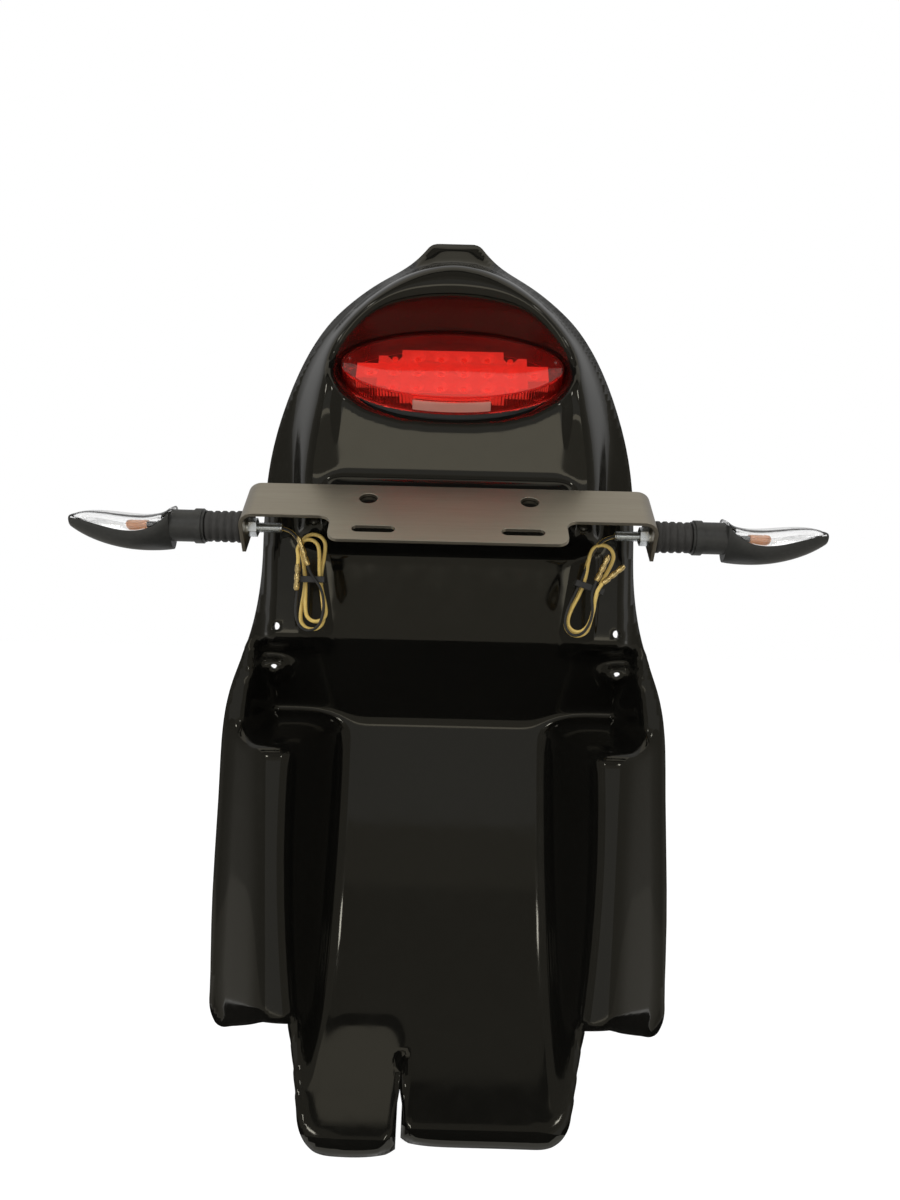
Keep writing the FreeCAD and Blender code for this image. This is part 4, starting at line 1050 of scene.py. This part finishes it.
@dataclass
class Wiring:
    """One side's leads, gathered in a tied hank below the bracket.

    Routes, ties, bullets and endings are given in millimetres. Each turn of the hank after the first is
    fanned out sideways, and it is smaller and shorter than the one before.
    """

    ROUNDNESS: ClassVar[int] = 4
    SMOOTHNESS: ClassVar[int] = 8
    ORDER: ClassVar[int] = 3
    ARC_STEPS: ClassVar[int] = 4

    side: Side
    route: list[tuple[float, float]]
    tie: tuple[float, float, float]
    bullets: list[tuple[tuple[float, float], tuple[float, float], float]]
    leads: list[Lead]
    lobe: float = 39 * MM
    waist: float = 5.2 * MM
    bulge: float = 1.08
    fan: float = 3.4 * MM
    shrink: float = 0.13
    foot_rise: float = 5.0
    head_drop: float = 4.0
    head_step: float = 3.0
    axis_y: float = field(default=0.0, init=False)

    def build(self) -> None:
        """Makes the tie, the bullets and the two leads."""
        low, high = (Vector(corner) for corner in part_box("indicator_studs"))
        self.axis_y = (low.y + high.y) / 2
        ends = [self._bullet(index) for index in range(len(self.bullets))]
        tie = smooth_copy(f"{self.side.word}_hank_tie", Finishes.BLACK, sharp_angle=40.0, edge=0.4 * MM)
        for index, lead in enumerate(self.leads):
            self._lead(lead, [tie] if index == 0 else [])

    def _local(self, x: float, y: float, z: float) -> Vector:
        """Gives a point of the hank's own frame, in millimetres, in the part's frame.

        Args:
            x: Across the hank.
            y: Back from the stud's axis.
            z: Up along the hank from its tie.

        Returns:
            The point in metres.
        """
        middle_x, middle_z, slant = self.tie
        turn = math.radians(slant)
        across = x * math.cos(turn) + z * math.sin(turn)
        along = z * math.cos(turn) - x * math.sin(turn)
        return Vector(((middle_x + across) * MM, self.axis_y + y * MM, (middle_z + along) * MM))

    def _bullet(self, index: int) -> bpy.types.Object:
        """Makes one of the side's bullets.

        Args:
            index: Which of them.

        Returns:
            The dressed bullet.
        """
        rear, tip, out = self.bullets[index]
        depth = self.axis_y - out * MM
        made = Bullet(Vector((rear[0] * MM, depth, rear[1] * MM)), Vector((tip[0] * MM, depth, tip[1] * MM)))
        return made.build(f"{self.side.word}_bullet_{index + 1}", f"{self.side.word}_bullets")

    def _loops(self, lead: Lead) -> list[Vector]:
        """Gives the points of a lead's turns, each pinched at the tie and a little unlike the last.

        Args:
            lead: The lead.

        Returns:
            The points in the part's frame.
        """
        points = []
        depth = lead.depth
        waist, straight = self.waist / MM, (self.lobe - lead.loop_radius) / MM
        for turn in range(lead.turns):
            reach = lead.loop_radius * self.bulge * (1.0 - self.shrink * turn) / MM
            fan = self.fan / MM * turn
            foot = straight - self.foot_rise * turn
            head = straight - self.head_drop - self.head_step * turn
            shape = [(-waist, 0.0), *self._half_turn(fan, -foot, reach, math.pi),
                     (waist, 0.0), *self._half_turn(-fan, head, reach, 0.0)]
            for step, (x, z) in enumerate(shape):
                points.append(self._local(x, depth + lead.depth_step * step / len(shape), z))
            depth += lead.depth_step
        return points

    def _half_turn(self, x: float, z: float, reach: float, start: float) -> list[tuple[float, float]]:
        """Gives the points of one half of a loop.

        Args:
            x: The half turn's middle across the hank.
            z: Its middle along the hank.
            reach: Its radius.
            start: The angle at which it begins.

        Returns:
            The points, across and along.
        """
        angles = [start + math.pi * step / self.ARC_STEPS for step in range(self.ARC_STEPS + 1)]
        return [(x + reach * math.cos(angle), z + reach * math.sin(angle)) for angle in angles]

    def _lead(self, lead: Lead,
              extra: Sequence[bpy.types.Object]) -> bpy.types.Object:
        """Makes one lead as a smooth curve that ends in its bullet.

        Args:
            lead: The lead's facts.
            extra: Other pieces that go with it.

        Returns:
            The dressed lead.
        """
        points = [Vector((x * MM, self.axis_y + lead.depth * MM, z * MM)) for x, z in self.route]
        points += self._loops(lead)
        points += [self._local(*spot) for spot in lead.ending]
        curve = bpy.data.curves.new(f"{self.side.word}_{lead.name}", "CURVE")
        curve.dimensions = "3D"
        curve.bevel_depth, curve.bevel_resolution = lead.radius, self.ROUNDNESS
        curve.use_fill_caps = True
        curve.resolution_u = self.SMOOTHNESS
        line = curve.splines.new("NURBS")
        line.points.add(len(points) - 1)
        for knot, point in zip(line.points, points):
            knot.co = (*point, 1.0)
        line.order_u = self.ORDER
        line.use_endpoint_u = True
        piece = bpy.data.objects.new(f"{self.side.word}_{lead.name}_run", curve)
        bpy.context.scene.collection.objects.link(piece)
        nodes = [f"{self.side.word}_{lead.name}"] + ([f"{self.side.word}_hank"] if extra else [])
        dress(piece, lead.finish, *nodes)
        length = line_length(piece)
        LOG.info("%s is %.3f m long", piece.name, length)
        return piece


def line_length(piece: bpy.types.Object) -> float:
    """Gives the length of a curve's own line.

    Args:
        piece: The curve object.

    Returns:
        The length in metres.
    """
    bare = piece.copy()
    bare.data = piece.data.copy()
    bare.data.bevel_depth = 0.0
    line = bpy.data.meshes.new_from_object(bare)
    spots = [point.co.copy() for point in line.vertices]
    length = sum((after - before).length for before, after in zip(spots, spots[1:]))
    bpy.data.meshes.remove(line)
    data = bare.data
    bpy.data.objects.remove(bare)
    bpy.data.curves.remove(data)
    return length


LEFT_WIRING = Wiring(
    Side.LEFT,
    route=[(-136, 78.2), (-128, 78.2), (-119.5, 73), (-114, 63), (-114, 52.5)],
    tie=(-105, 38.5, 0.0),
    bullets=[((-115.5, 50), (-116.3, 29), 9.25), ((-108, 49), (-116, 72), 8.25)],
    leads=[
        Lead("live_lead", Finishes.YELLOW, radius=1.5 * MM, depth=1.4, turns=2, loop_radius=9.3 * MM,
             depth_step=-3.4, ending=[(-10.3, -9.0, 18), (-10.5, -9.25, 11.5)]),
        Lead("earth_lead", Finishes.BLACK, radius=1.1 * MM, depth=-1.6, ending=[
            (-10.4, -4.4, 0), (-12.6, -5.4, -24), (-10, -5.6, -36), (-1.5, -5.8, -41), (7, -6, -36),
            (10.3, -6.2, -22), (8.4, -7, -8), (1.2, -8.2, 2), (-1, -8.25, 5), (-3, -8.25, 10.5)]),
    ],
)
RIGHT_WIRING = Wiring(
    Side.RIGHT,
    route=[(137, 78.2), (129, 78.2), (119, 73.5), (111.67, 62.95), (108.35, 52.98)],
    tie=(112, 37, 18.4),
    bullets=[((120, 40.5), (137, 55), 8.25), ((115.3, 42.5), (124.5, 63), 8.25)],
    leads=[
        Lead("live_lead", Finishes.YELLOW, radius=1.5 * MM, depth=1.4, turns=1, loop_radius=9.3 * MM,
             depth_step=-3.4, ending=[
                 (-5.2, -2.2, 0), (-9.8, -2.8, -26), (-6.5, -3.2, -35), (1.5, -3.8, -37), (7.5, -4.6, -31),
                 (8, -5.8, -18), (4.6, -7.8, -5), (5, -8.25, 2.5), (6.49, -8.25, 5.85)]),
        Lead("earth_lead", Finishes.BLACK, radius=1.1 * MM, depth=-1.6, ending=[
            (-9.4, -4.4, 0), (-12.4, -5.4, -24), (-9.5, -6.2, -36), (-1, -6.8, -40.5), (6.5, -7.2, -35),
            (8.2, -8.2, -20), (1.6, -8.4, -6), (1, -8.25, 0.5), (1.4, -8.25, 6.26)]),
    ],
)


def main() -> None:
    """Builds the studio and every sub-assembly in order."""
    logging.basicConfig(level=logging.INFO, format="%(message)s")
    builders: list[Callable[[], object]] = [
        Studio().build, LEFT_WIRING.build, RIGHT_WIRING.build, UndertailShell().build, TailLight().build,
        PlateBracket().build, Indicators().build]
    for build in builders:
        build()
    bpy.context.view_layer.update()


if __name__ == "__main__":
    main()
